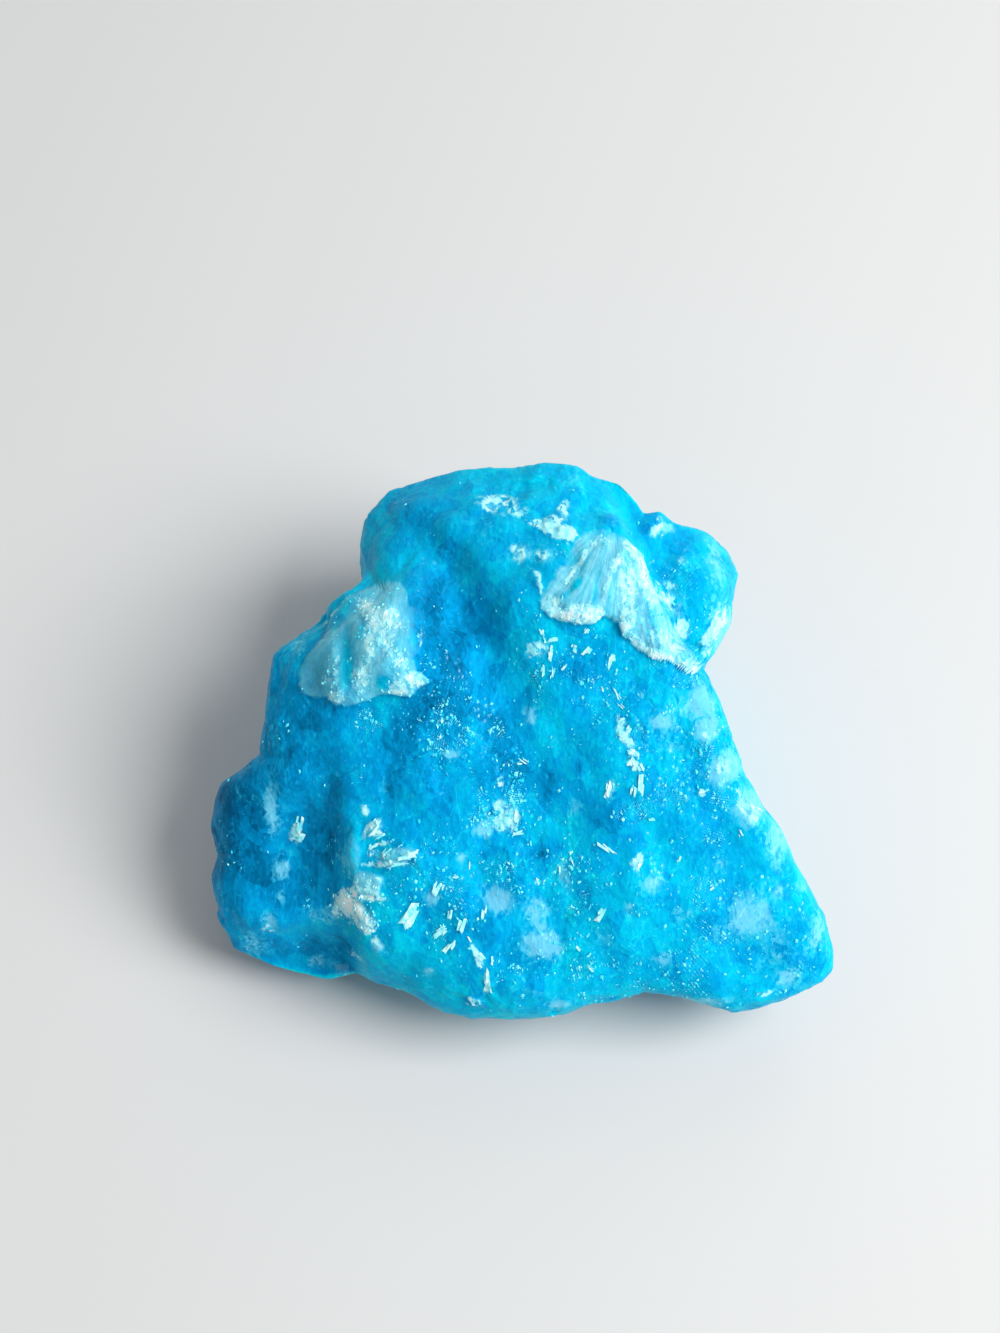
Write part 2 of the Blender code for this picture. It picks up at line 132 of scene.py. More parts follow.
# White granular places, in the same rows, some with degrees turned at the end
WHITES = (
    (1.75, 12.3, 1.35, 0.45, 1.5, -20), (-1.1, 13.5, 1.5, 0.5, 0.8, -10), (2.35, 13.3, 0.6, 0.3, 0.8, 70),
    (0.1, 10.9, 0.8, 0.4, 0.65, -40), (1.2, 10.8, 0.3, 0.5, 0.7), (1, 9.3, 0.8, 0.26, 0.9, -62),
    (7.15, 12.5, 0.7, 0.35, 1, 55), (7, 10.6, 0.3, 0.2, 0.7), (8.6, 10.5, 0.3, 0.2, 0.7), (8.8, 11.1, 0.25, 0.2, 0.7),
    (10.1, 7, 1.5, 0.45, 1, 60), (7.4, 9.3, 0.45, 0.3, 0.8), (7.6, 8.5, 0.9, 0.4, 0.85, -25),
    (8.2, 7.2, 0.4, 0.7, 0.85), (11.45, -1.9, 1, 0.45, 1, -55), (10.1, 0.2, 0.8, 0.5, 0.55, -40),
    (-0.9, -2.3, 0.8, 0.75, 0.9), (-1, -0.5, 0.3, 0.35), (5.3, 1.95, 0.42, 0.8), (5.6, 0.9, 0.3, 0.2),
    (5.75, 0.3, 0.35, 0.3), (0.75, 5.8, 0.5, 0.45, 0.7), (-11.5, -3.4, 0.35, 0.7, 0.9), (-2.3, -11.6, 0.5, 0.3),
    (-2.1, -9.2, 0.75, 0.2, 0.9, -55), (-1.5, -10.6, 0.6, 0.22, 1, -85), (5.7, -4.5, 0.25, 0.4),
    (12.3, -11.3, 0.5, 0.15), (9.1, -1.1, 0.22, 0.16), (-7.1, -8.85, 0.25, 0.45, 0.8), (9.4, 1.7, 0.4, 0.3, 0.6),
    (-8.4, -9.6, 0.7, 0.25, 0.5, -15), (-12.9, -8.3, 0.5, 0.5, 0.5),
)
# Places full of tiny glinting grains, in the same rows
GLITTER = (
    (-3.6, 2.2, 1.6, 2.2), (-6.4, 3, 1.8, 0.9, 0.7), (-6, -5.2, 2.2, 1.8), (-3.8, -7.2, 1.6, 1.6, 0.7),
    (2, -5.4, 2.4, 1.6), (1.6, -8.8, 1.8, 1.4, 0.8), (1.5, 5.4, 1.8, 1.6, 0.6), (-0.2, -2.6, 1.6, 1.8),
    (5.6, 1, 1.4, 2.8, 0.6), (9.4, 0.4, 2.2, 2.8, 0.7), (9.2, -7.6, 3.2, 2.4, 0.7), (-0.6, 0.6, 1.8, 1.4, 0.5),
    (4.6, -9.6, 2.4, 1.4, 0.5), (13.6, -9.6, 1.4, 2, 0.6), (8, 7.8, 1.4, 2, 0.7),
)


def step(value, low, high):
    """0 below low and 1 above high, with the cubic 3t^2 - 2t^3 between."""
    share = np.clip((value - low) / (high - low), 0.0, 1.0)
    return share * share * (3.0 - 2.0 * share)


def hill(across, slope, at, size, turned=0.0):
    """exp(-(u/a)^2 - (v/b)^2) around a place on the face, along axes turned by an angle."""
    right = across - at[0]
    up = slope - at[1]
    along = right * math.cos(turned) + up * math.sin(turned)
    aside = up * math.cos(turned) - right * math.sin(turned)
    return np.exp(-((along / size[0]) ** 2) - (aside / size[1]) ** 2)


def hills(across, slope, rows):
    """The hill of each row of a table, times its height or strength."""
    for row in rows:
        strength, turned = (*row[4:], *(1.0, 0.0)[len(row) - 4:])
        yield strength * hill(across, slope, row[:2], row[2:4], math.radians(turned))


def patches(across, slope, rows):
    """The largest of the rows' hills at each point of the face."""
    return np.max(list(hills(across, slope, rows)), axis=0)


def lower_of(first, second, blend):
    """The smaller of two heights, with a parabola of the given width where they cross."""
    mix = np.clip(0.5 + 0.5 * (second - first) / blend, 0.0, 1.0)
    return second * (1.0 - mix) + first * mix - blend * mix * (1.0 - mix)


def lattice(cells):
    """A repeatable number from 0 to 1 for each whole-number cell: the broken part of a large sine."""
    spread = cells @ np.array([127.1, 311.7, 74.7])
    return np.modf(np.abs(np.sin(spread) * 43758.5453))[0]


def noise(points, size):
    """Value noise from -1 to 1: lattice numbers at eight corners, blended by the cubic of the place between.
    A number added to the points gives another pattern."""
    scaled = points / size
    cell = np.floor(scaled)
    part = scaled - cell
    part = part * part * (3.0 - 2.0 * part)
    total = np.zeros(len(points))
    for corner in np.ndindex(2, 2, 2):
        offset = np.array(corner, float)
        weight = np.prod(np.where(offset == 1.0, part, 1.0 - part), axis=1)
        total += weight * lattice(cell + offset)
    return 2.0 * total - 1.0


def grains(points, size):
    """Distance to the nearest seed, one in each lattice cell, with that seed's cell and the offset from it."""
    scaled = points / size
    cell = np.floor(scaled)
    nearest = np.full(len(points), 9.0)
    offset = np.zeros((len(points), 3))
    owner = np.zeros((len(points), 3))
    for corner in np.ndindex(3, 3, 3):
        near = cell + np.array(corner, float) - 1.0
        seed = near + np.stack([lattice(near), lattice(near + 37.0), lattice(near + 71.0)], axis=1)
        away = scaled - seed
        distance = np.linalg.norm(away, axis=1)
        closer = distance < nearest
        nearest = np.where(closer, distance, nearest)
        offset = np.where(closer[:, None], away, offset)
        owner = np.where(closer[:, None], near, owner)
    return nearest, offset, owner


def rounded(points, size):
    """Rounded grains: 0.5 minus the distance to the nearest seed."""
    return 0.5 - grains(points, size)[0]


def facets(points, size):
    """Flat grain faces: in each grain the height is its offset from the seed times that grain's own tilt."""
    _, offset, owner = grains(points, size)
    tilt = np.stack([lattice(owner + shift) for shift in (11.0, 23.0, 51.0)], axis=1) - 0.5
    return np.sum(offset * tilt, axis=1) * size


def past_ridge(across, slope, low, high):
    """0 to 1 across the ridge that bounds the hollow facet at the lower left."""
    ridge = -8.6 - 0.16 * (slope + 5.0) + 0.55 * hill(slope, slope, (-1.5, -1.5), (2.6, 2.6))
    return step(ridge - across, low, high) * step(-slope, -2.2, 2.6)


def face_relief(across, slope):
    """A shallow dome that falls off to the left and to the back, plus the hills, minus a step at the right back.
    Beyond the ridge at the lower left a hollow and a sloping ledge take its place."""
    face = 0.5 - 0.004 * ((across - 1.0) ** 2 + (slope + 3.0) ** 2)
    face -= 0.045 * np.maximum(-across - 4.0, 0.0) ** 1.5
    top = 0.75 * (10.4 - slope) + 0.42 * np.minimum(across - 1.5, 0.0)
    surface = lower_of(face, top, 1.6)
    for mound in hills(across, slope, HILLS):
        surface += mound
    surface -= 2.9 * step(across + 0.35 * (slope - 8.0), 6.4, 8.0) * step(slope, 5.6, 6.8)
    lower_left = past_ridge(across, slope, -0.3, 1.3)
    hollow = -1.1 - 1.1 * hill(across, slope, (-11.8, -4.6), (3.0, 3.6)) + 0.10 * (across + 9.0)
    ledge = -1.5 + 0.9 * (slope + 7.2)
    return surface * (1.0 - lower_left) + lower_of(hollow, ledge, 0.7) * lower_left


def interpolated(turn, corners, values):
    """Values of corners around the origin, straight between them by their angle."""
    angle = np.arctan2(corners[:, 1], corners[:, 0])
    order = np.argsort(angle)
    return np.interp(turn, angle[order], values[order], period=2.0 * math.pi)


def rim_at(turn):
    """The rim's reach and its height out of the face in each direction, straight between its corners."""
    rim = np.array(RIM)
    return interpolated(turn, rim, np.hypot(rim[:, 0], rim[:, 1])), interpolated(turn, rim, rim[:, 2])


def near_rim(across, slope, width):
    """exp(-(distance to the rim / width)^2)."""
    far = rim_at(np.arctan2(slope, across))[0]
    return np.exp(-(((far - np.hypot(across, slope)) / width) ** 2))


def skin(across, slope):
    """Relief at a place, brought down to the rim by sqrt(1 - reach^n), a rounded corner that is crisper for high n."""
    far, rim_out = rim_at(np.arctan2(slope, across))
    reach = np.clip(np.hypot(across, slope) / far, 0.0, 1.0)
    crisp = 9.0 + 9.0 * step(across - 0.6 * slope, 3.0, 11.0) - 5.0 * step(slope, 6.0, 12.0)
    return rim_out + (face_relief(across, slope) - rim_out) * np.sqrt(1.0 - reach**crisp)


def resting(across, slope, out):
    """Turns the leaning face about the x axis into the resting pose, x, y and z in millimetres."""
    back = slope * math.cos(FACE_LEAN) - out * math.sin(FACE_LEAN) - CENTRE_BACK
    height = FACE_HEIGHT + slope * math.sin(FACE_LEAN) + out * math.cos(FACE_LEAN)
    return np.stack([across - CENTRE_ACROSS, back, height], axis=1)


def on_face(places):
    """The reverse of resting: across and slope of points given in millimetres over the table."""
    back = places[:, 1] + CENTRE_BACK
    slope = back * math.cos(FACE_LEAN) + (places[:, 2] - FACE_HEIGHT) * math.sin(FACE_LEAN)
    return places[:, 0] + CENTRE_ACROSS, slope


def upper_side(turn, reach):
    """The broken face: polar grid from its middle to the rim, lifted to the skin."""
    far = rim_at(turn)[0] * reach
    across = far * np.cos(turn)
    slope = far * np.sin(turn)
    return resting(across, slope, skin(across, slope))


def polar(turn, far, out):
    """Places given by their direction on the face, their distance from its middle, and out."""
    return resting(far * np.cos(turn), far * np.sin(turn), out)


def calmed(turn):
    """The rim averaged over CALM_ARC degrees to both sides, never outside the rim itself."""
    shifts = np.radians(np.linspace(-CALM_ARC, CALM_ARC, 17))
    far, out = np.mean([rim_at(turn + shift) for shift in shifts], axis=0)
    return polar(turn, np.minimum(far, rim_at(turn)[0]), out)


def side_steepness(turn):
    """The power that bends the hidden side: near 1 in front, where it is undercut, and over 2 behind."""
    return 1.15 + 1.05 * step(np.sin(turn), -0.45, 0.8) + 0.30 * np.abs(np.cos(turn))


def under_side(turn, drop):
    """The hidden side: from the rim towards a foot below the table, drop^n inwards and 1 - (1 - drop)^n down."""
    rim = polar(turn, *rim_at(turn))
    foot = np.array([0.0, FOOT_BACK, -FOOT_DEPTH])
    steep = side_steepness(turn)
    calm = step(drop, 0.0, 0.28)[:, None]
    side = rim * (1.0 - calm) + calmed(turn) * calm
    places = side + (foot - side) * (drop**steep)[:, None]
    swell = BELLY * step(np.sin(turn), 0.75, 0.97)
    swell -= NOTCH_PINCH * np.exp(-(((turn - NOTCH_TURN) / NOTCH_WIDTH) ** 2))
    swell *= np.sin(math.pi * np.minimum(1.7 * drop, 1.0))
    places[:, 0] += swell * np.cos(turn)
    places[:, 1] += swell * np.sin(turn)
    places[:, 2] = rim[:, 2] + (foot[2] - rim[:, 2]) * (1.0 - (1.0 - drop) ** steep)
    return places


def drop_to_table(turn):
    """How far down the hidden side the table lies: the drop at which its height is 0."""
    rim_height = polar(turn, *rim_at(turn))[:, 2]
    return 1.0 - (FOOT_DEPTH / (rim_height + FOOT_DEPTH)) ** (1.0 / side_steepness(turn))


def ring_normals(grid):
    """Outward unit normals of a grid of rings: the cross product of its steps across and along the rings."""
    outwards = np.gradient(grid, axis=0)
    around = np.roll(grid, -1, axis=1) - np.roll(grid, 1, axis=1)
    normal = np.cross(outwards, around)
    return normal / np.maximum(np.linalg.norm(normal, axis=2, keepdims=True), 1e-9)


def new_object(name, data):
    """Puts a mesh, a light or a camera into the scene as an object."""
    thing = bpy.data.objects.new(name, data)
    bpy.context.scene.collection.objects.link(thing)
    return thing


def ring_surface(name, grid):
    """Quads between rings of points, closed at both ends by triangles to the middles of the end rings."""
    rings, turns = grid.shape[:2]
    here = np.arange(turns)
    there = (here + 1) % turns
    row = np.arange(rings - 1)[:, None] * turns
    quads = np.stack([row + here, row + turns + here, row + turns + there, row + there], axis=2).reshape(-1, 4)
    top = rings * turns
    end = (rings - 1) * turns
    fan = np.stack([np.full(turns, top), here, there], axis=1)
    close = np.stack([end + here, np.full(turns, top + 1), end + there], axis=1)
    points = np.concatenate([grid.reshape(-1, 3), grid[[0, -1]].mean(axis=1)]) * MM
    mesh = bpy.data.meshes.new(name)
    mesh.from_pydata(points.tolist(), [], quads.tolist() + fan.tolist() + close.tolist())
    mesh.shade_smooth()
    return new_object(name, mesh)


def store(piece, name, values):
    """Keeps one number for each point of a piece."""
    layer = piece.data.attributes.new(name, "FLOAT", "POINT")
    layer.data.foreach_set("value", values.astype(np.float32))


def with_ends(values):
    """Adds the values of a ring surface's two end points, which are the same as beside them."""
    return np.concatenate([values, values[:1], values[-1:]])


def fibre_uv(piece, across_fibres, along_fibres):
    """Stores a UV map for fibres: u counts across them and v runs along them, the same for all corners of a point."""
    layer = piece.data.uv_layers.new(name="fibres")
    corner = np.empty(len(piece.data.loops), np.int32)
    piece.data.loops.foreach_get("vertex_index", corner)
    uv = with_ends(np.stack([across_fibres, along_fibres], axis=1))
    layer.data.foreach_set("uv", uv[corner].astype(np.float32).ravel())


def on_object(piece):
    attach(piece, "root")
    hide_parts("hemimorphite_mass")


def mass_grid():
    """Rings over the face, closer together towards the rim, down the hidden side and across the resting face."""
    turn = np.linspace(-math.pi, math.pi, MASS_TURNS, endpoint=False)
    reach = 1.0 - (1.0 - np.linspace(0.0, 1.0, FACE_RINGS + 1)[1:]) ** RINGS_CROWD
    drop = np.linspace(0.0, 1.0, SIDE_RINGS + 1)[1:]
    turns, reaches = np.meshgrid(turn, reach)
    face = upper_side(turns.ravel(), reaches.ravel()).reshape(-1, MASS_TURNS, 3)
    turns, drops = np.meshgrid(turn, drop)
    drops = drops * drop_to_table(turn)
    side = under_side(turns.ravel(), drops.ravel()).reshape(-1, MASS_TURNS, 3)
    inwards = np.linspace(1.0, 0.0, BASE_RINGS + 1)[1:-1, None, None]
    middle = np.mean(side[-1], axis=0)
    base = middle + (side[-1] - middle) * inwards
    return np.concatenate([face, side, base])


def lumps_and_grains(places):
    """Broken lumps of 5 and 2.4 mm, calmer at the rim, rounded grains of 2.2 and 0.85 mm, flat-faced ones of 1.1
    and 0.46 mm, and crumbs in the white places, all added up as heights."""
    below = step(-places[:, 2], -9.0, -2.0)
    across, slope = on_face(places)
    fixed = places + np.array([CENTRE_ACROSS, CENTRE_BACK, 0.0])
    lumps = (0.30 + 0.45 * below) * noise(fixed + 11.0, 5.2) + 0.20 * noise(fixed + 50.0, 2.4)
    lumps += 0.36 * (0.55 - grains(fixed, 2.2)[0])
    lumps *= 1.0 - RIM_CALM * near_rim(across, slope, RIM_WIDTH)
    drawn = fixed * np.array(GRAIN_STRETCH)
    sugar = 0.14 * rounded(drawn + 5.0, 0.85) + 0.28 * facets(drawn + 9.0, 1.1)
    sugar += 0.26 * facets(drawn + 3.0, 0.46)
    crumbs = patches(across, slope, WHITES) * (0.10 + 0.34 * rounded(fixed + 70.0, 0.38))
    return lumps + crumbs + sugar * (0.25 + 0.40 * step(noise(fixed + 80.0, 4.0), -0.5, 0.5))


def colour_masks(places, seen):
    """Cloud, depth and white at each point: placed on the face, which seen fades out just below the rim,
    and natural patches of noise on the hidden sides. Cloud carries some painted light and depth some painted shade."""
    across, slope = on_face(places)
    warped = places + 0.35 * np.stack([noise(places + shift, 0.9) for shift in (3.0, 17.0, 29.0)], axis=1)
    warped_across, warped_slope = on_face(warped)
    cloud_and_light = patches(0.5 * (across + warped_across), 0.5 * (slope + warped_slope), CLOUDS_AND_LIGHT)
    deep_and_shade = patches(warped_across, warped_slope, DEEPS_AND_SHADE)
    white = patches(warped_across, warped_slope, WHITES)
    wild = noise(places + 90.0, 2.6) + 0.5 * noise(places + 40.0, 1.1)
    wild_white = step(noise(places + 140.0, 1.6) + 0.6 * noise(places, 0.6), 0.85, 1.25)
    # Painted shade: the hollow facet at the lower left and the place under its ledge are darkened, partly the stone's
    # own deeper colour.
    hollow = past_ridge(across, slope, 0.1, 0.7) * step(slope + 0.25 * (across + 12.0), -7.6, -6.8)
    shade_under_ledge = past_ridge(across, slope, 0.0, 0.6) * step(-slope, 8.2, 9.0) * step(slope, -11.0, -9.6)
    deep_and_shade = np.maximum(deep_and_shade, 0.8 * np.maximum(hollow, shade_under_ledge))
    cloud_and_light = np.maximum(cloud_and_light * seen, (0.60 - 0.42 * seen) * step(wild, 0.35, 1.1))
    deep_and_shade = np.maximum(deep_and_shade * seen, (0.60 - 0.25 * seen) * step(-wild, 0.2, 1.0))
    white = np.maximum(white * seen, 0.55 * (1.0 - seen) * wild_white)
    # Painted light: the rim on the right, where the lamp catches it, is made paler.
    edge = near_rim(across, slope, 0.55) * step(across + 0.4 * slope, 1.0, 7.0)
    cloud_and_light = np.maximum(cloud_and_light, 0.25 * edge * (0.6 + 0.4 * noise(places + 60.0, 1.2)))
    return cloud_and_light, deep_and_shade, white


# The white crusts belong to the same growth: thin plates of silky fibres and grains that lie on the face. Each
# has an outline, a middle that the outline is measured from, and an apex that its fibres grew from. Rows again
# give across, slope, half widths, strength or height (1 if left out) and degrees turned (0 if left out).
FAN_OUTLINE = (
    (9.15, 5.05), (8.45, 6.4), (8, 7), (7.4, 7.5), (6.95, 8.4), (6.95, 9.4), (6.45, 10.2), (5.95, 10.8), (5.5, 11.6),
    (5, 11.9), (4.3, 12.2), (3.6, 12.1), (2.95, 11.9), (2.7, 11.3), (2.3, 10.4), (1.75, 9.65), (1.15, 8.9),
    (0.9, 8.2), (1.4, 7.7), (2.2, 7.45), (2.8, 7.3), (3.8, 7.35), (4.1, 7.6), (4.6, 7.6), (5, 7.3), (5.1, 6.9),
    (5.7, 6.2), (6.5, 5.7), (7.5, 5.45), (8.1, 5.1), (8.85, 4.75),
)
FAN_MIDDLE = (4.9, 8.7)
FAN_LIFT = 0.45
FAN_APEX = (4.9, 13.0)
FAN_WHITES = (
    (2.9, 7.7, 1.25, 0.5, 1.9, 2), (1.5, 8.2, 0.9, 0.45, 0.85, 45), (3.2, 10.6, 1, 0.16, 0.75, 60),
    (2.55, 9.7, 0.9, 0.16, 0.8, 57), (3.8, 11.4, 0.9, 0.2, 0.6, 55), (4.2, 11.6, 0.7, 0.4, 0.5),
    (5.6, 11, 0.7, 0.32, 1.1, -68), (4.9, 10.3, 0.7, 0.2, 1, 68), (5.3, 9, 1.3, 0.6, 0.85, 86),
    (6.15, 9.7, 1.3, 0.34, 0.85, -75), (6.5, 8.6, 0.8, 0.35, 0.75, -80), (5.35, 7.4, 0.9, 0.4, 1.3, 80),
    (5.75, 6.3, 1, 0.36, 1.35, -45), (7.2, 5.6, 1.5, 0.3, 1.25, -18), (7, 6.7, 1, 0.8, 0.7),
    (7.8, 6.2, 0.8, 0.4, 0.75, -45), (8.75, 5.1, 0.7, 0.4, 1.2, -35), (4.35, 9.2, 1.4, 0.16, 0.75, 76),
)
FAN_CLEAR = (
    (2.85, 9.25, 0.55, 0.22, 0.9, 50), (2.2, 8.7, 0.45, 0.2, 0.8, 50), (3.8, 8.7, 0.6, 0.4, 0.4, 20),
    (6.2, 7.7, 0.6, 0.45, 0.35), (4.05, 7.75, 0.2, 0.35, 0.6), (3.3, 9.9, 0.5, 0.3, 0.3, 55),
)
FAN_CRESTS = (
    (5.25, 10.9, 1, 0.3, 0.22, 65), (4.45, 9.2, 1.5, 0.28, 0.18, 77), (6.3, 9.2, 1.6, 0.32, 0.12, -75),
    (3, 7.85, 1.2, 0.38, 0.18, 2), (5.4, 7.2, 0.8, 0.4, 0.16, 80), (7.3, 5.9, 1.6, 0.4, 0.16, -25),
)
SHOULDER_OUTLINE = (
    (-6.1, 9.45), (-5.75, 9), (-5.55, 8.2), (-4.95, 8.1), (-4.7, 7.55), (-4.7, 6.8), (-4.95, 6.1), (-5.35, 5.6),
    (-5.15, 5), (-4.5, 4.5), (-4.9, 4.15), (-5.4, 3.7), (-6.6, 3.7), (-7.3, 3.6), (-8.25, 3.25), (-8.9, 3.1),
    (-9.45, 3.25), (-9.8, 3.6), (-10.8, 3.7), (-11.3, 4.1), (-11.3, 4.9), (-11, 5.5), (-10.4, 6.3), (-10.1, 6.6),
    (-10, 7.4), (-9.55, 8.05), (-9, 8.55), (-8.25, 9.05), (-7.5, 9.4), (-6.85, 9.55),
)
SHOULDER_MIDDLE = (-7.7, 6.1)
SHOULDER_LIFT = 0.70
SHOULDER_APEX = (-5.6, 11.5)
SHOULDER_BORDER = -2.5  # across; left of it the upper fibres grew from the shoulder's apex
SHOULDER_WHITES = (
    (-7.2, 7.5, 1.4, 0.5, 0.95, -42), (-6.5, 7.6, 0.7, 0.4, 1.35, -35), (-7.8, 8.25, 0.6, 0.4),
    (-8, 4.75, 1, 0.48, 0.85, 82), (-7.6, 6.3, 1, 0.35, 0.75, -78), (-6.7, 6.5, 0.8, 0.6, 0.65, -45),
    (-5.95, 5.35, 0.5, 0.36, 1, -20), (-5.25, 4.5, 0.7, 0.4, 1.25, -20), (-6.1, 4.3, 0.6, 0.6, 0.75),
    (-6.1, 3.85, 0.8, 0.18), (-6.3, 5.9, 0.6, 0.5, 0.7), (-9.3, 5.3, 2, 0.26, 0.42, -87),
    (-9.2, 3.65, 0.9, 0.45, 0.6, 15), (-6.6, 9, 0.7, 0.4, 0.38), (-4.95, 6.6, 0.9, 0.14, 0.42, 90),
    (-9.5, 8, 1.2, 0.12, 0.6, 48), (-9.6, 4.6, 0.5, 1, 0.42),
)
SHOULDER_CLEAR = (
    (-8.75, 5.4, 2, 0.4, 0.6, -86), (-6.8, 4.35, 0.36, 0.36), (-9.1, 7.9, 1.2, 0.45, 0.5, 50),
    (-5.1, 7, 0.6, 1.6, 0.45), (-7.9, 7.2, 0.5, 0.3, 0.3, 40), (-10.6, 4.9, 1, 1.4, 0.3),
)
KNOT_OUTLINE = (
    (-4.8, -4.3), (-5.3, -3.7), (-6.4, -2.9), (-7.3, -1.7), (-8.2, -1.7), (-8.4, -3), (-8.9, -4.2), (-8.9, -5.3),
    (-8.8, -5.9), (-9.75, -6.75), (-9.7, -7.8), (-8.5, -8.2), (-7.6, -8.5), (-7, -8), (-7.1, -6.9), (-6.6, -6.6),
    (-6.5, -5.3), (-5.4, -4.9),
)
KNOT_MIDDLE = (-7.6, -5.3)
KNOT_APEX = (-9.6, -2.6)
KNOT_WHITES = (
    (-7.75, -2, 0.22, 0.34, 0.8, 20), (-7.4, -2.8, 0.5, 0.2, 1.15, 40), (-7.1, -3.2, 0.32, 0.15, 1.1, 25),
    (-7.8, -3.35, 0.3, 0.3, 0.45), (-7.4, -4.15, 0.4, 0.18, 0.75, 35), (-7, -3.75, 0.8, 0.14, 0.7, 15),
    (-6.6, -4.7, 1.4, 0.16, 0.95, 3), (-5.6, -4.3, 0.8, 0.28, 0.6, 15), (-6.3, -4.1, 1, 0.3, 0.42, 25),
    (-7.4, -6.42, 0.85, 0.16, 1.15, -3), (-8.6, -6.4, 0.6, 0.4, 1.5, 30), (-8.6, -7, 0.9, 0.6, 1.6, -40),
    (-7.9, -7.6, 0.9, 0.5, 1.05, -40), (-7.55, -8.05, 0.45, 0.25, 1.4, -20), (-9.3, -7.1, 0.4, 0.5, 0.8),
)
KNOT_PLATES = (
    (-6.2, -4.25, 1.4, 0.45, 0.3, 8), (-8.3, -7.2, 1.3, 0.8, 0.26, -25), (-7.8, -7.7, 0.8, 0.6, 0.26, -30),
    (-7.8, -2.1, 0.4, 0.45, 0.2, 20), (-7.3, -3, 0.7, 0.35, 0.28, 40), (-8.35, -4.2, 0.45, 1.1, 0.34),
)


def face_points(across, slope, third=0.0):
    """Places on the face as points for noise and grains, all with the same third value."""
    return np.stack([across, slope, 0.0 * across + third], axis=1)


def inside_outline(outline, middle, across, slope, ragged):
    """Reach, the distance from the middle as a share of the outline's distance there, which noise makes uneven,
    with the direction, and a cover that falls from 1 to 0 across the outline."""
    edge = np.array(outline) - np.array(middle)
    turn = np.arctan2(slope - middle[1], across - middle[0])
    far = interpolated(turn, edge, np.hypot(edge[:, 0], edge[:, 1]))
    place = face_points(across, slope)
    far += ragged * (noise(place + 4.0, 0.6) + 0.9 * noise(place + 31.0, 0.25))
    away = np.hypot(across - middle[0], slope - middle[1])
    return np.minimum(away / far, 1.0), turn, 1.0 - step(away - far, -0.14, 0.06)


def around_apex(across, slope, apex):
    """Direction and distance from the point that the fibres grew from."""
    return np.arctan2(across - apex[0], apex[1] - slope), np.hypot(across - apex[0], slope - apex[1])


def splinters(across, slope, apex, width, length, seed):
    """Flat splinters along the fibres, each with its own tilt, so that they step where one breaks off."""
    turn, away = around_apex(across, slope, apex)
    turn = turn + 0.08 * noise(face_points(across, slope, seed), 1.5)
    return facets(face_points(turn / width, away / length, seed), 1.0)


def fan_form(across, slope):
    """The fan: level with the mass along its upper edges, rising to a broken hem, with crests down from its apex,
    splinters, and grains on the right. Gives height, pearl, white, warmth and silk."""
    reach, turn, cover = inside_outline(FAN_OUTLINE, FAN_MIDDLE, across, slope, 0.13)
    place = face_points(across, slope)
    torn = 0.10 * noise(place + 2.0, 0.7) + 0.06 * noise(place + 2.0, 0.3)
    upper = step(np.sin(turn) - 0.35 * np.cos(turn), -0.15, 0.45)
    level = upper * step(reach + torn, 0.45, 1.0)
    right = step(across - 0.25 * (9.0 - slope), 4.4, 6.0)
    rough = (0.22 * rounded(place, 0.42) + 0.16 * facets(place + 3.0, 0.8)) * (0.10 + right)
    rough += 0.12 * splinters(across, slope, FAN_APEX, width=0.07, length=1.4, seed=3.0) * (0.5 + right)
    thick = FAN_LIFT * (1.0 - 0.45 * reach**4) * (1.0 - 0.45 * step(across - slope, -2.4, 0.0))
    height = (thick + patches(across, slope, FAN_CRESTS)) * (1.0 - level)
    clear = 0.12 + 0.55 * upper * step(reach + torn, 0.78, 1.02) + patches(across, slope, FAN_CLEAR)
    height += rough * (1.0 - 0.7 * level)
    white = patches(across, slope, FAN_WHITES)
    return cover * height, cover * (1.0 - clear), cover * white, 0.0 * cover, 0.7 * cover


def shoulder_form(across, slope):
    """The shoulder's cap: rounded, thin and warm at the left, level with the mass at the upper right, with a groove
    down its left part and rough grains where it is white. Gives height, pearl, white, warmth and silk."""
    reach, turn, cover = inside_outline(SHOULDER_OUTLINE, SHOULDER_MIDDLE, across, slope, 0.08)
    place = face_points(across, slope)
    white = patches(across, slope, SHOULDER_WHITES)
    level = step(np.cos(turn - math.radians(25)), 0.6, 0.95) * step(reach + 0.12 * noise(place, 0.6), 0.65, 1.0)
    thin = 1.0 - 0.65 * hill(across, slope, (-10.9, 4.8), (1.1, 1.6))
    groove = 0.20 * hill(across, slope, (-8.75, 5.4), (0.40, 1.8), math.radians(4))
    rough = (0.22 * rounded(place + 8.0, 0.45) + 0.14 * facets(place + 41.0, 0.6)) * np.minimum(white, 1.0)
    rough += 0.08 * facets(place + 31.0, 1.3)
    height = (SHOULDER_LIFT * (1.0 - 0.60 * reach**3) * thin - groove) * (1.0 - level)
    clear = 0.34 + 0.10 * level + patches(across, slope, SHOULDER_CLEAR)
    warm = 0.9 * hill(across, slope, (-10.4, 5.0), (0.9, 1.3))
    return cover * (height + rough), cover * (1.0 - clear), cover * white, cover * warm, 0.36 * cover


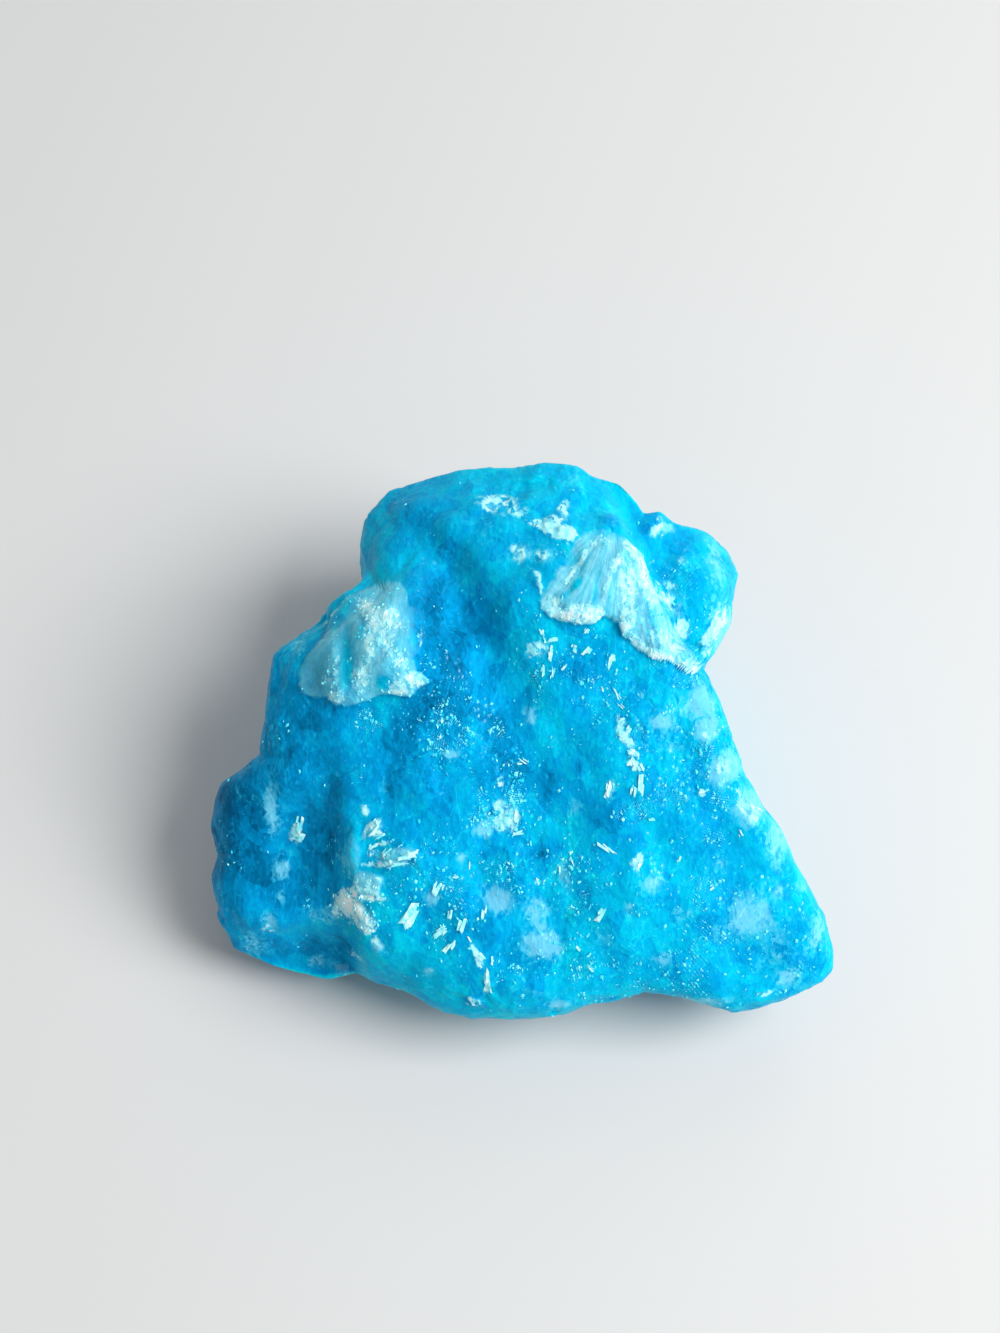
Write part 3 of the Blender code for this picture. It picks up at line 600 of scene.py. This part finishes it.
def knot_form(across, slope):
    """The knot: low plates, a four-sided slab made by a product of soft steps from its edges, and splinters fanning
    to the right. Gives height, pearl, white, warmth and silk."""
    cover = inside_outline(KNOT_OUTLINE, KNOT_MIDDLE, across, slope, 0.10)[2]
    place = face_points(across, slope)
    shift = 0.14 * noise(place + 7.0, 0.5)
    right = np.abs(across + 7.62 - 0.10 * (slope + 5.75) + shift)
    up = np.abs(slope + 5.78 + 0.06 * (across + 7.6) + shift)
    slab = step(0.95 - right, 0.0, 0.35) * step(0.70 - up, 0.0, 0.35)
    plates = patches(across, slope, KNOT_PLATES)
    bundle = hill(across, slope, (-6.4, -3.9), (1.6, 1.2))
    lump = hill(across, slope, (-8.2, -7.3), (1.4, 0.8))
    rough = 0.16 * bundle * splinters(across, slope, KNOT_APEX, width=0.13, length=1.5, seed=21.0)
    rough += (0.20 * rounded(place + 20.0, 0.4) + 0.18 * facets(place + 25.0, 0.7)) * (0.1 + lump)
    height = np.maximum(plates, 0.22 * slab)
    pearl = np.maximum(0.9 * slab, 0.60 * step(plates, 0.08, 0.26))
    pearl *= 1.0 - 0.6 * hill(across, slope, (-8.4, -4.2), (0.5, 1.1))
    white = np.maximum(patches(across, slope, KNOT_WHITES), 0.50 * slab)
    return cover * (height + rough), cover * pearl, cover * white, 0.0 * cover, cover * (0.5 - 0.4 * slab)


grid = mass_grid()
flat = grid.reshape(-1, 3)
ring = np.arange(len(flat)) // MASS_TURNS
on_seen_face = ring < FACE_RINGS
across, slope = on_face(flat)
crusts = np.sum([form(across, slope) for form in (fan_form, shoulder_form, knot_form)], axis=0)
crust_height, pearl, crust_white, warm, silk = crusts * (1.0 - step(ring, *CRUST_FADE))
face_out = np.array([0.0, -math.sin(FACE_LEAN), math.cos(FACE_LEAN)])
raised = flat + ring_normals(grid).reshape(-1, 3) * lumps_and_grains(flat)[:, None] + face_out * crust_height[:, None]
raised = np.clip(raised, np.array(cad_low) / MM, np.array(cad_high) / MM)
raised[flat[:, 2] < 1e-6, 2] = 0.0
grid = raised.reshape(grid.shape)
mass_normals = ring_normals(grid).reshape(-1, 3)
blue_mass = ring_surface("blue_mass", grid)

cloud_and_light, deep_and_shade, white = colour_masks(raised, 1.0 - step(ring, *SEEN_FADE))
glitter = np.maximum(patches(across, slope, GLITTER), 0.8 * (silk > 0.1))
masks = {
    "cloud_and_light": cloud_and_light,
    "deep_and_shade": deep_and_shade,
    "white": np.maximum(white * (1.0 - np.clip(3.0 * silk, 0.0, 1.0)), crust_white),
    "pearl": np.clip(pearl, 0.0, 1.0),
    "warm": warm,
    "silk": silk,
    "glitter": np.where(on_seen_face, glitter, 0.3),
}
for mask, values in masks.items():
    store(blue_mass, mask, with_ends(values))
from_fan, from_shoulder, from_knot = (
    around_apex(across, slope, apex) for apex in (FAN_APEX, SHOULDER_APEX, KNOT_APEX)
)
fibre_uv(blue_mass, *np.where(slope > 0.0, np.where(across < SHOULDER_BORDER, from_shoulder, from_fan), from_knot))
on_object(blue_mass)


def new_material(name):
    """A new material with its node tree and its Principled shader."""
    material = bpy.data.materials.new(name)
    material.use_nodes = True
    return material, material.node_tree, material.node_tree.nodes["Principled BSDF"]


def fill(tree, node, values):
    """Fills a node's inputs: links other nodes' outputs and sets plain values."""
    for name, value in values.items():
        if isinstance(value, bpy.types.NodeSocket):
            tree.links.new(value, node.inputs[name])
        else:
            node.inputs[name].default_value = value


def add_node(tree, kind, values, **settings):
    """A shader node with its settings and its inputs, which are given by name or number."""
    node = tree.nodes.new("ShaderNode" + kind)
    for name, value in settings.items():
        setattr(node, name, value)
    fill(tree, node, values)
    return node


def times(tree, first, second):
    return add_node(tree, "Math", {0: first, 1: second}, operation="MULTIPLY").outputs[0]


def weighted_sum(tree, start, *parts):
    """The start plus each part times its weight."""
    for value, weight in parts:
        start = add_node(tree, "Math", {0: value, 1: weight, 2: start}, operation="MULTIPLY_ADD").outputs[0]
    return start


def mix_colour(tree, share, first, second):
    """Mixes two colours, given as values or as outputs, by a share."""
    first, second = ((*value, 1.0) if isinstance(value, tuple) else value for value in (first, second))
    return add_node(tree, "Mix", {"Factor": share, 6: first, 7: second}, data_type="RGBA").outputs[2]


def smooth_range(tree, value, low, high, start=0.0, end=1.0):
    """Carries a value from low..high to start..end with soft ends."""
    values = {"Value": value, "From Min": low, "From Max": high, "To Min": start, "To Max": end}
    return add_node(tree, "MapRange", values, interpolation_type="SMOOTHSTEP").outputs["Result"]


def attribute(tree, name):
    return add_node(tree, "Attribute", {}, attribute_name=name).outputs["Fac"]


def object_place(tree):
    return add_node(tree, "TexCoord", {}).outputs["Object"]


def noise_node(tree, vector, scale, detail, roughness=0.6, distortion=0.0, output="Fac"):
    values = {"Vector": vector, "Scale": scale, "Detail": detail, "Roughness": roughness, "Distortion": distortion}
    return add_node(tree, "TexNoise", values).outputs[output]


def cell_node(tree, vector, scale, feature="F1"):
    """Voronoi cells: their colours, and the distance to the seed or to the border."""
    return add_node(tree, "TexVoronoi", {"Vector": vector, "Scale": scale}, feature=feature).outputs


def channels(tree, colour):
    return add_node(tree, "SeparateColor", {0: colour}).outputs


def bumped(tree, height, strength, distance):
    return add_node(tree, "Bump", {"Strength": strength, "Distance": distance, "Height": height}).outputs["Normal"]


# The body's colour from its dark depths to its brightest grains
BODY_STOPS = (
    (0.00, (0.0003, 0.120, 0.270)), (0.28, (0.0005, 0.338, 0.660)), (0.50, (0.0010, 0.530, 0.735)),
    (0.70, (0.0020, 0.670, 0.740)), (0.95, (0.0600, 0.830, 0.850)),
)


def sugar_group():
    """A node group for the sugary blue body: its colour, a ragged value for broken borders, thin grain edges, a
    mosaic of fine grains, speckle, bright flecks and a height for bump. The flecks lighten the colour as painted
    sparkle; the input for depth and shade darkens it, partly as painted shade, and Glitter brings out the flecks."""
    group = bpy.data.node_groups.new("sugary grain", "ShaderNodeTree")
    for way, kind, names in (
        ("INPUT", "Vector", ("Vector",)), ("INPUT", "Float", ("Deep_and_shade", "Glitter")), ("OUTPUT", "Color", ("Body",)),
        ("OUTPUT", "Float", ("Ragged", "Edges", "Mosaic", "Speckle", "Fleck", "Height")),
    ):
        for name in names:
            group.interface.new_socket(name, in_out=way, socket_type="NodeSocket" + kind)
    inside = group.nodes.new("NodeGroupInput").outputs
    turned = {"Vector": inside["Vector"], "Rotation": (-FACE_LEAN, 0.0, 0.0), "Scale": GRAIN_STRETCH}
    vector = add_node(group, "Mapping", turned).outputs["Vector"]
    warp = noise_node(group, vector, 1500.0, 2.0, 0.5, output="Color")
    pushed = {0: warp, 1: (0.00022, 0.00022, 0.00022), 2: vector}
    pushed = add_node(group, "VectorMath", pushed, operation="MULTIPLY_ADD").outputs[0]
    drawn = add_node(group, "VectorMath", {0: pushed, 1: (1.0, 0.45, 1.0)}, operation="MULTIPLY").outputs[0]

    cells = channels(group, cell_node(group, pushed, 1050.0)["Color"])[0]
    slivers = cell_node(group, drawn, 1700.0, "DISTANCE_TO_EDGE")["Distance"]
    gaps = smooth_range(group, noise_node(group, vector, 800.0, 2.0), 0.50, 0.64)
    outline = times(group, smooth_range(group, slivers, 0.012, 0.06, 1.0, 0.0), gaps)
    fine = noise_node(group, vector, 5200.0, 3.0, 0.7)
    small = cell_node(group, pushed, 5200.0)
    flash, mosaic = channels(group, small["Color"])[:2]
    fleck = times(group, smooth_range(group, flash, 0.62, 1.0),
                  smooth_range(group, small["Distance"], 0.12, 0.50, 1.0, 0.0))
    broad = noise_node(group, vector, 240.0, 3.0, 0.55, 0.3)
    middle = noise_node(group, vector, 900.0, 4.0, 0.65, 0.4)

    # Painted sparkle from the flecks, and darkening by depth and painted shade.
    shining = times(group, fleck, weighted_sum(group, 0.25, (inside["Glitter"], 0.75)))
    tone = weighted_sum(group, 0.115, (broad, 0.18), (middle, 0.09), (cells, 0.15), (mosaic, 0.12), (fine, 0.06),
                        (outline, 0.12), (shining, 0.45), (inside["Deep_and_shade"], -0.22))
    ramp = add_node(group, "ValToRGB", {"Fac": tone})
    while len(ramp.color_ramp.elements) < len(BODY_STOPS):
        ramp.color_ramp.elements.new(0.5)
    for element, (place, colour) in zip(ramp.color_ramp.elements, BODY_STOPS):
        element.position = place
        element.color = (*colour, 1.0)
    fill(group, group.nodes.new("NodeGroupOutput"), {
        "Body": ramp.outputs["Color"],
        "Ragged": weighted_sum(group, -0.85, (middle, 0.9), (fine, 0.5), (mosaic, 0.30)),
        "Edges": outline,
        "Mosaic": mosaic,
        "Speckle": fine,
        "Fleck": fleck,
        "Height": weighted_sum(group, small["Distance"], (fine, 0.6)),
    })
    return group


MINERAL_IOR = 1.62
# The pale colours also stand for painted light on a dim slope and on the lit right rim.
CLOUD_AND_LIGHT_COLOURS = (0.004, 0.61, 0.77), (0.24, 0.63, 0.82)
EDGE_COLOUR = (0.40, 0.90, 0.95)
SILK_COLOURS = (0.04, 0.48, 0.66), (0.27, 0.70, 0.82)
FROST_COLOURS = (0.24, 0.80, 0.90), (0.56, 0.97, 0.95)
CRUST_COLOURS = (0.24, 0.74, 0.87), (0.52, 0.94, 0.96)
PUREST_WHITE = (0.86, 1.0, 0.97)
WARM_TINGE = (0.10, 0.38, 0.48)


def blue_material():
    """The body's colour with painted shade and sparkle, pale clouds under the surface with some painted light, then
    on top the crusts' pearly silk, white granular places broken up by fibres and grain, and a warm tinge, with a waxy
    sheen."""
    material, tree, shader = new_material("blue_hemimorphite")
    uv = add_node(tree, "UVMap", {}, uv_map="fibres").outputs["UV"]
    drawn = add_node(tree, "Mapping", {"Vector": uv, "Scale": (30.0, 0.8, 1.0)}).outputs["Vector"]
    threads = noise_node(tree, drawn, 1.0, 4.0, 0.7, 0.6)
    bundles = noise_node(tree, drawn, 0.34, 3.0, 0.6, 0.8)
    streaks = times(tree, weighted_sum(tree, -0.5, (threads, 0.5), (bundles, 0.5)), attribute(tree, "silk"))
    inputs = {"Vector": object_place(tree), "Deep_and_shade": attribute(tree, "deep_and_shade"), "Glitter": attribute(tree, "glitter")}
    sugar = add_node(tree, "Group", inputs, node_tree=sugar_group()).outputs
    # Pale cloudy places, some of them painted light.
    cloud_and_light = weighted_sum(tree, attribute(tree, "cloud_and_light"), (sugar["Ragged"], 0.8))
    cloud_and_light = smooth_range(tree, cloud_and_light, 0.15, 0.62, 0.0, 0.80)
    colour = mix_colour(tree, cloud_and_light, sugar["Body"], mix_colour(tree, cloud_and_light, *CLOUD_AND_LIGHT_COLOURS))
    edges = times(tree, weighted_sum(tree, 0.005, (cloud_and_light, 0.40)), sugar["Edges"])
    colour = mix_colour(tree, edges, colour, EDGE_COLOUR)

    silky = weighted_sum(tree, 1.0, (streaks, 2.0), (sugar["Ragged"], -0.6))
    silky = smooth_range(tree, times(tree, silky, attribute(tree, "pearl")), 0.10, 0.80, 0.0, 0.95)
    lustre = smooth_range(tree, streaks, -0.10, 0.10)
    colour = mix_colour(tree, silky, colour, mix_colour(tree, lustre, *SILK_COLOURS))

    white = weighted_sum(tree, 1.0, (streaks, 2.4), (sugar["Ragged"], 2.6))
    white = times(tree, white, attribute(tree, "white"))
    purest = smooth_range(tree, white, 0.75, 1.50)
    white = smooth_range(tree, white, 0.30, 0.72, 0.0, 0.90)
    frost = mix_colour(tree, sugar["Mosaic"], *FROST_COLOURS)
    crisp = mix_colour(tree, purest, mix_colour(tree, sugar["Mosaic"], *CRUST_COLOURS), PUREST_WHITE)
    frost = mix_colour(tree, smooth_range(tree, attribute(tree, "silk"), 0.02, 0.20), frost, crisp)
    colour = mix_colour(tree, white, colour, frost)
    colour = mix_colour(tree, times(tree, attribute(tree, "warm"), 0.5), colour, WARM_TINGE)
    height = times(tree, weighted_sum(tree, 1.0, (white, 1.5)), sugar["Height"])
    height = weighted_sum(tree, height, (streaks, 2.5))
    fill(tree, shader, {
        "Base Color": colour,
        "Roughness": weighted_sum(tree, 0.25, (sugar["Speckle"], 0.30), (white, 0.15)),
        "Normal": bumped(tree, height, 0.25, 0.00010),
        "IOR": MINERAL_IOR,
        "Coat Weight": times(tree, sugar["Fleck"], 0.8),
        "Coat Roughness": 0.12,
        "Specular IOR Level": 0.05,
        "Specular Tint": (0.05, 0.90, 1.0, 1.0),
        "Subsurface Weight": 0.90,
        "Subsurface Radius": (0.3, 0.8, 1.0),
        "Subsurface Scale": 0.0008,
    })
    return material


blue_mass.data.materials.append(blue_material())

# Bright crystal blades. Small flat prisms with chisel ends stand in the broken face singly and in chains
# and veins, where their clean faces catch the light. Rows: across, slope, length, width, degrees turned.
BLADES = (
    (-5.6, -7.4, 1.7, 0.85, 62), (-4.1, -5.9, 0.9, 0.35, 65), (-4, -8.1, 0.85, 0.45, 45), (-3.5, -7.2, 0.6, 0.2, 80),
    (-3.7, -8.9, 0.85, 0.4, 50), (-2.9, -7.7, 1, 0.45, 70), (-2.5, -8.5, 0.45, 0.15, -50),
    (-1.9, -9.2, 0.6, 0.25, -50), (-1.4, -9.5, 0.5, 0.15, 85), (-1.6, -10.4, 0.9, 0.3, 85),
    (-1.5, -11, 0.4, 0.12, -70), (1.1, 6.9, 0.4, 0.18, 100), (1.25, 6.4, 0.45, 0.15, 105), (1.65, 6.5, 0.55, 0.3, 10),
    (1.6, 5.8, 0.75, 0.3, 92), (1.2, 4.95, 0.55, 0.3, 75), (1.65, 4.85, 0.6, 0.15, 88), (2.75, 6.1, 0.45, 0.3, 70),
    (3.3, 5.9, 0.55, 0.35, 50), (2.25, 5.15, 0.45, 0.2, 60), (3.35, 6.95, 0.35, 0.2, 60), (4.55, 5.25, 1, 0.35, 80),
    (4.15, 4.05, 0.3, 0.12, 105), (4.85, 3.8, 0.7, 0.1, -55), (5.1, 3.2, 0.45, 0.1, -50), (5.1, 2.4, 0.35, 0.32, 20),
    (5.45, 2.05, 0.35, 0.3, 70), (5, 1.75, 0.4, 0.3, -20), (5.35, 1.4, 0.4, 0.25, 40), (5.55, 0.9, 0.35, 0.3, 0),
    (5.65, 0.4, 0.55, 0.45, 70), (6.05, 0.1, 0.45, 0.3, -50), (5.95, -1, 1.4, 0.45, 88), (5.6, -1, 0.5, 0.15, 80),
    (4.4, -0.95, 1, 0.35, 80), (4.2, -3.9, 1.05, 0.28, -33), (4.05, -7.15, 0.7, 0.4, 60), (5.95, -4.6, 0.5, 0.3, 70),
    (-2.5, -4.8, 0.5, 0.1, 88), (-3.2, -5.35, 0.35, 0.25, 20), (-1.8, -7.15, 0.65, 0.25, 85),
    (-11.3, -3.1, 1.1, 0.4, 80), (-11.2, -3.6, 0.6, 0.35, 70), (-0.2, -2.4, 0.65, 0.3, 75),
    (-0.1, -3.2, 0.6, 0.28, 15), (0.15, 0.45, 0.6, 0.14, -30), (-0.05, 0.3, 0.3, 0.2, 10), (9.1, -1.05, 0.4, 0.3, 30),
    (11.1, -3.2, 0.4, 0.2, -60), (6.55, -2.5, 0.4, 0.2, 10), (-7.3, -3, 0.8, 0.32, 45), (-6.95, -3.3, 0.6, 0.22, 30),
    (-5.7, -4.3, 1.1, 0.4, 20), (-6, -4.7, 1.3, 0.15, 5), (-5.3, -4.1, 0.6, 0.2, 35), (-7.2, -3.8, 0.9, 0.2, 30),
    (-6.7, -4.1, 0.7, 0.2, 40), (8, -4.5, 0.35, 0.2, 60), (2, -5, 0.5, 0.15, 80), (2.6, -4.6, 0.5, 0.15, 110),
    (0.9, -5.6, 0.5, 0.2, 120), (2.9, -8.9, 0.35, 0.2, -40), (3.5, -9.9, 0.5, 0.12, -45), (9.6, -5.9, 0.35, 0.2, 40),
)
BLADE_LIFT = 0.03
# Each crystal is split into three slivers: shares of its length and width, and how far they scatter
SLIVERS = ((0.88, 0.60, 0.14), (0.62, 0.44, 0.40), (0.40, 0.32, 0.60))
# One blade: a flat prism of unit length and width along x and y, with sloping ends; corners and faces
BLADE_SHAPE = np.array([
    (-0.50, -0.30, -1.0), (0.42, -0.50, -1.0), (0.50, 0.30, -1.0), (-0.42, 0.50, -1.0),
    (-0.42, -0.24, 0.62), (0.36, -0.42, 1.0), (0.44, 0.24, 0.72), (-0.30, 0.42, 0.92),
])
BLADE_FACES = np.array([
    (3, 2, 1, 0), (4, 5, 6, 7), (0, 1, 5, 4), (1, 2, 6, 5), (2, 3, 7, 6), (3, 0, 4, 7),
])


def unit(vectors):
    return vectors / np.linalg.norm(vectors, axis=1, keepdims=True)


def scattered(name, shapes, faces, places, normals, along, sizes):
    """Puts one shape at each place: its axes become along, their cross product and the normal, times the sizes."""
    along = unit(along - normals * np.sum(along * normals, axis=1, keepdims=True))
    axes = np.stack([along, np.cross(normals, along), normals], axis=1) * sizes[:, :, None]
    points = places[:, None] + np.einsum("nvk,nkc->nvc", shapes, axes)
    corners = faces[None] + (np.arange(len(places)) * shapes.shape[1])[:, None, None]
    mesh = bpy.data.meshes.new(name)
    mesh.from_pydata((points.reshape(-1, 3) * MM).tolist(), [], corners.reshape(-1, faces.shape[1]).tolist())
    return new_object(name, mesh)


def face_direction(degrees):
    """A direction on the face, anticlockwise from across, as x, y and z."""
    angle = np.radians(degrees)
    up = np.sin(angle)
    return np.stack([np.cos(angle), up * math.cos(FACE_LEAN), up * math.sin(FACE_LEAN)], axis=1)


rows = np.array(BLADES)
shake = np.random.default_rng(27)
slivers = []
for long, wide, spread in SLIVERS:
    part = rows.copy()
    part[:, 2] *= long
    part[:, 3] *= wide
    angle = np.radians(rows[:, 4])
    ahead = rows[:, 2] * shake.uniform(-0.7 * spread, 0.7 * spread, len(rows))
    beside = rows[:, 3] * shake.uniform(-spread, spread, len(rows))
    part[:, 0] += ahead * np.cos(angle) - beside * np.sin(angle)
    part[:, 1] += ahead * np.sin(angle) + beside * np.cos(angle)
    part[:, 4] += shake.normal(0.0, 7.0, len(rows))
    slivers.append(part)
rows = np.concatenate(slivers)
seen_places = raised[on_seen_face]
seen_normals = mass_normals[on_seen_face]
seen_across, seen_slope = on_face(seen_places)
distance = (rows[:, 0, None] - seen_across) ** 2 + (rows[:, 1, None] - seen_slope) ** 2
nearest = np.argmin(distance, axis=1)
blade_normals = unit(seen_normals[nearest] + 1.5 * face_out + shake.normal(0.0, 0.22, (len(rows), 3)))
blade_shapes = np.repeat(BLADE_SHAPE[None], len(rows), axis=0)
taper = shake.uniform(-0.7, 0.7, (len(rows), 1))
lean = shake.uniform(-0.5, 0.5, (len(rows), 1))
blade_shapes[:, :, :2] += shake.uniform(-0.16, 0.16, (len(rows), len(BLADE_SHAPE), 2))
blade_shapes[:, :, 1] *= 1.0 + taper * blade_shapes[:, :, 0]
blade_shapes[:, :, 0] += lean * blade_shapes[:, :, 1] * rows[:, 3, None] / rows[:, 2, None]
blades = scattered(
    "crystal_blades",
    blade_shapes,
    BLADE_FACES,
    seen_places[nearest] + blade_normals * BLADE_LIFT,
    blade_normals,
    along=face_direction(rows[:, 4]),
    sizes=np.stack([rows[:, 2], rows[:, 3], 0.03 + 0.05 * rows[:, 3]], axis=1),
)
on_object(blades)


def blade_material():
    """Clean crystal faces: almost white, partly as painted reflection of the light, a little green, with flaws and a
    glassy gloss.
    """
    material, tree, shader = new_material("crystal_faces")
    flaws = noise_node(tree, object_place(tree), 2600.0, 4.0, 0.65)
    share = smooth_range(tree, flaws, 0.38, 0.62)
    fill(tree, shader, {
        # Near-white, partly painted reflection of the light.
        "Base Color": mix_colour(tree, share, (0.18, 0.84, 0.94), (0.66, 1.0, 0.96)),
        "Roughness": weighted_sum(tree, 0.08, (flaws, 0.25)),
        "Normal": bumped(tree, flaws, 0.35, 0.00008),
        "IOR": MINERAL_IOR,
    })
    return material


blades.data.materials.append(blade_material())

# Glinting grains. Thousands of tiny crystals, 0.05 to 0.3 mm long, lie in the broken surface and flash where
# it is coarse: under the shoulder crust, around the white patches and along the front.
GLINTS = 12000
# Lengths in mm: the least, how much more at most, and a power that makes long ones rare
GLINT_LEAST, GLINT_MORE, GLINT_RARITY = 0.045, 0.24, 6
GLINT_SHAPE = np.array([
    (0.5, 0.0, 0.0), (0.0, 0.5, 0.0), (-0.5, 0.0, 0.0), (0.0, -0.5, 0.0), (0.05, 0.03, 0.5), (0.0, 0.0, -0.5),
])
GLINT_FACES = np.array([
    (0, 1, 4), (1, 2, 4), (2, 3, 4), (3, 0, 4), (1, 0, 5), (2, 1, 5), (3, 2, 5), (0, 3, 5),
])


def glint_density(places, seen):
    """Chance of a grain at each point: the fields on the face, patches of noise on the hidden sides."""
    across, slope = on_face(places)
    field = np.maximum(patches(across, slope, GLITTER), 0.5 * crust_white)
    wild = 0.6 * step(noise(places + 33.0, 3.0), 0.1, 0.8)
    clumps = step(noise(places + 61.0, 1.0) + 0.5 * noise(places + 64.0, 0.4), 0.1, 1.0) ** 2
    spread = 0.006 + np.where(seen, np.maximum(field, 0.07 * wild), wild)
    return spread * (0.03 + np.maximum(clumps, 0.35 * crust_white))


random = np.random.default_rng(4)
spacing = np.linalg.norm(np.roll(grid, -1, axis=1) - grid, axis=2).ravel()
chance = glint_density(raised, on_seen_face) * spacing * (raised[:, 2] > 0.3)
picked = random.choice(len(raised), GLINTS, replace=False, p=chance / chance.sum())
glint_normals = unit(mass_normals[picked] + random.normal(0.0, 0.35, (GLINTS, 3)))
length = GLINT_LEAST + GLINT_MORE * random.random(GLINTS) ** GLINT_RARITY
glints = scattered(
    "glinting_grains",
    np.repeat(GLINT_SHAPE[None], GLINTS, axis=0),
    GLINT_FACES,
    raised[picked] + 0.10 * glint_normals * length[:, None],
    glint_normals,
    sizes=np.stack([length, length * random.uniform(0.3, 0.8, GLINTS), 0.5 * length], axis=1),
    along=face_direction(random.normal(80.0, 40.0, GLINTS)),
)
store(glints, "pale", np.repeat(crust_white[picked], len(GLINT_SHAPE)))
on_object(glints)


def glint_material():
    """The same crystal in small grains: cyan to white from grain to grain, partly as painted sparkle, glassy."""
    material, tree, shader = new_material("glinting_grains")
    tone = noise_node(tree, object_place(tree), 1900.0, 2.0)
    colour = mix_colour(tree, smooth_range(tree, tone, 0.40, 0.66), (0.01, 0.70, 0.93), (0.22, 0.94, 1.0))
    pale = smooth_range(tree, attribute(tree, "pale"), 0.1, 0.9)
    fill(tree, shader, {
        "Base Color": mix_colour(tree, pale, colour, (0.55, 0.98, 1.0)),
        "Roughness": weighted_sum(tree, 0.05, (tone, 0.3)),
        "IOR": MINERAL_IOR,
    })
    return material


glints.data.materials.append(glint_material())

# The table, the light and the camera: a pale floor, a window-like light from the upper right, a
# weak one from the back, and a camera that looks straight at the broad face.
FLOOR_HALF = 2.5
AIM = np.array([0.0, 0.0, 0.008])
LIGHT_WIDTH = 0.20
# Place in metres, watts and colour; the camera's eye in millimetres as across, slope and out
LIGHTS = {
    "window": ((0.22, -0.05, 0.24), 1.42, (0.98, 0.99, 1.0)),
    "fill": ((0.04, 0.28, 0.20), 0.14, (0.96, 0.98, 1.0)),
}
LENS = 55.4
EYE = (-1.0, 5.175, 103.0)

floor_mesh = bpy.data.meshes.new("floor")
floor_corners = [(FLOOR_HALF * x, FLOOR_HALF * y, 0.0) for x, y in ((-1, -1), (1, -1), (1, 1), (-1, 1))]
floor_mesh.from_pydata(floor_corners, [], [(0, 1, 2, 3)])
floor = new_object("floor", floor_mesh)
paint, tree, shader = new_material("pale_floor")
fill(tree, shader, {"Base Color": (0.62, 0.62, 0.61, 1.0), "Roughness": 0.8})
floor.data.materials.append(paint)

for name, (place, watts, colour) in LIGHTS.items():
    light = bpy.data.lights.new(name, "AREA")
    light.size = LIGHT_WIDTH
    light.energy = watts
    light.color = colour
    lamp = new_object(name, light)
    lamp.location = place
    away = np.array(place) - AIM
    lamp.rotation_euler = (math.atan2(math.hypot(away[0], away[1]), away[2]), 0.0, math.atan2(away[0], -away[1]))
world = bpy.data.worlds.new("studio")
world.use_nodes = True
fill(world.node_tree, world.node_tree.nodes["Background"], {"Color": (0.95, 0.97, 1.0, 1.0), "Strength": 0.39})
bpy.context.scene.world = world
bpy.context.scene.view_settings.view_transform = "Standard"

camera_data = bpy.data.cameras.new("camera")
camera_data.lens = LENS
camera_data.clip_start = 0.001
camera = new_object("camera", camera_data)
camera.matrix_world = Matrix.LocRotScale(
    (resting(*np.array(EYE)[:, None])[0] * MM).tolist(), Matrix.Rotation(FACE_LEAN, 3, "X"), (1.0, 1.0, 1.0)
)
bpy.context.scene.camera = camera
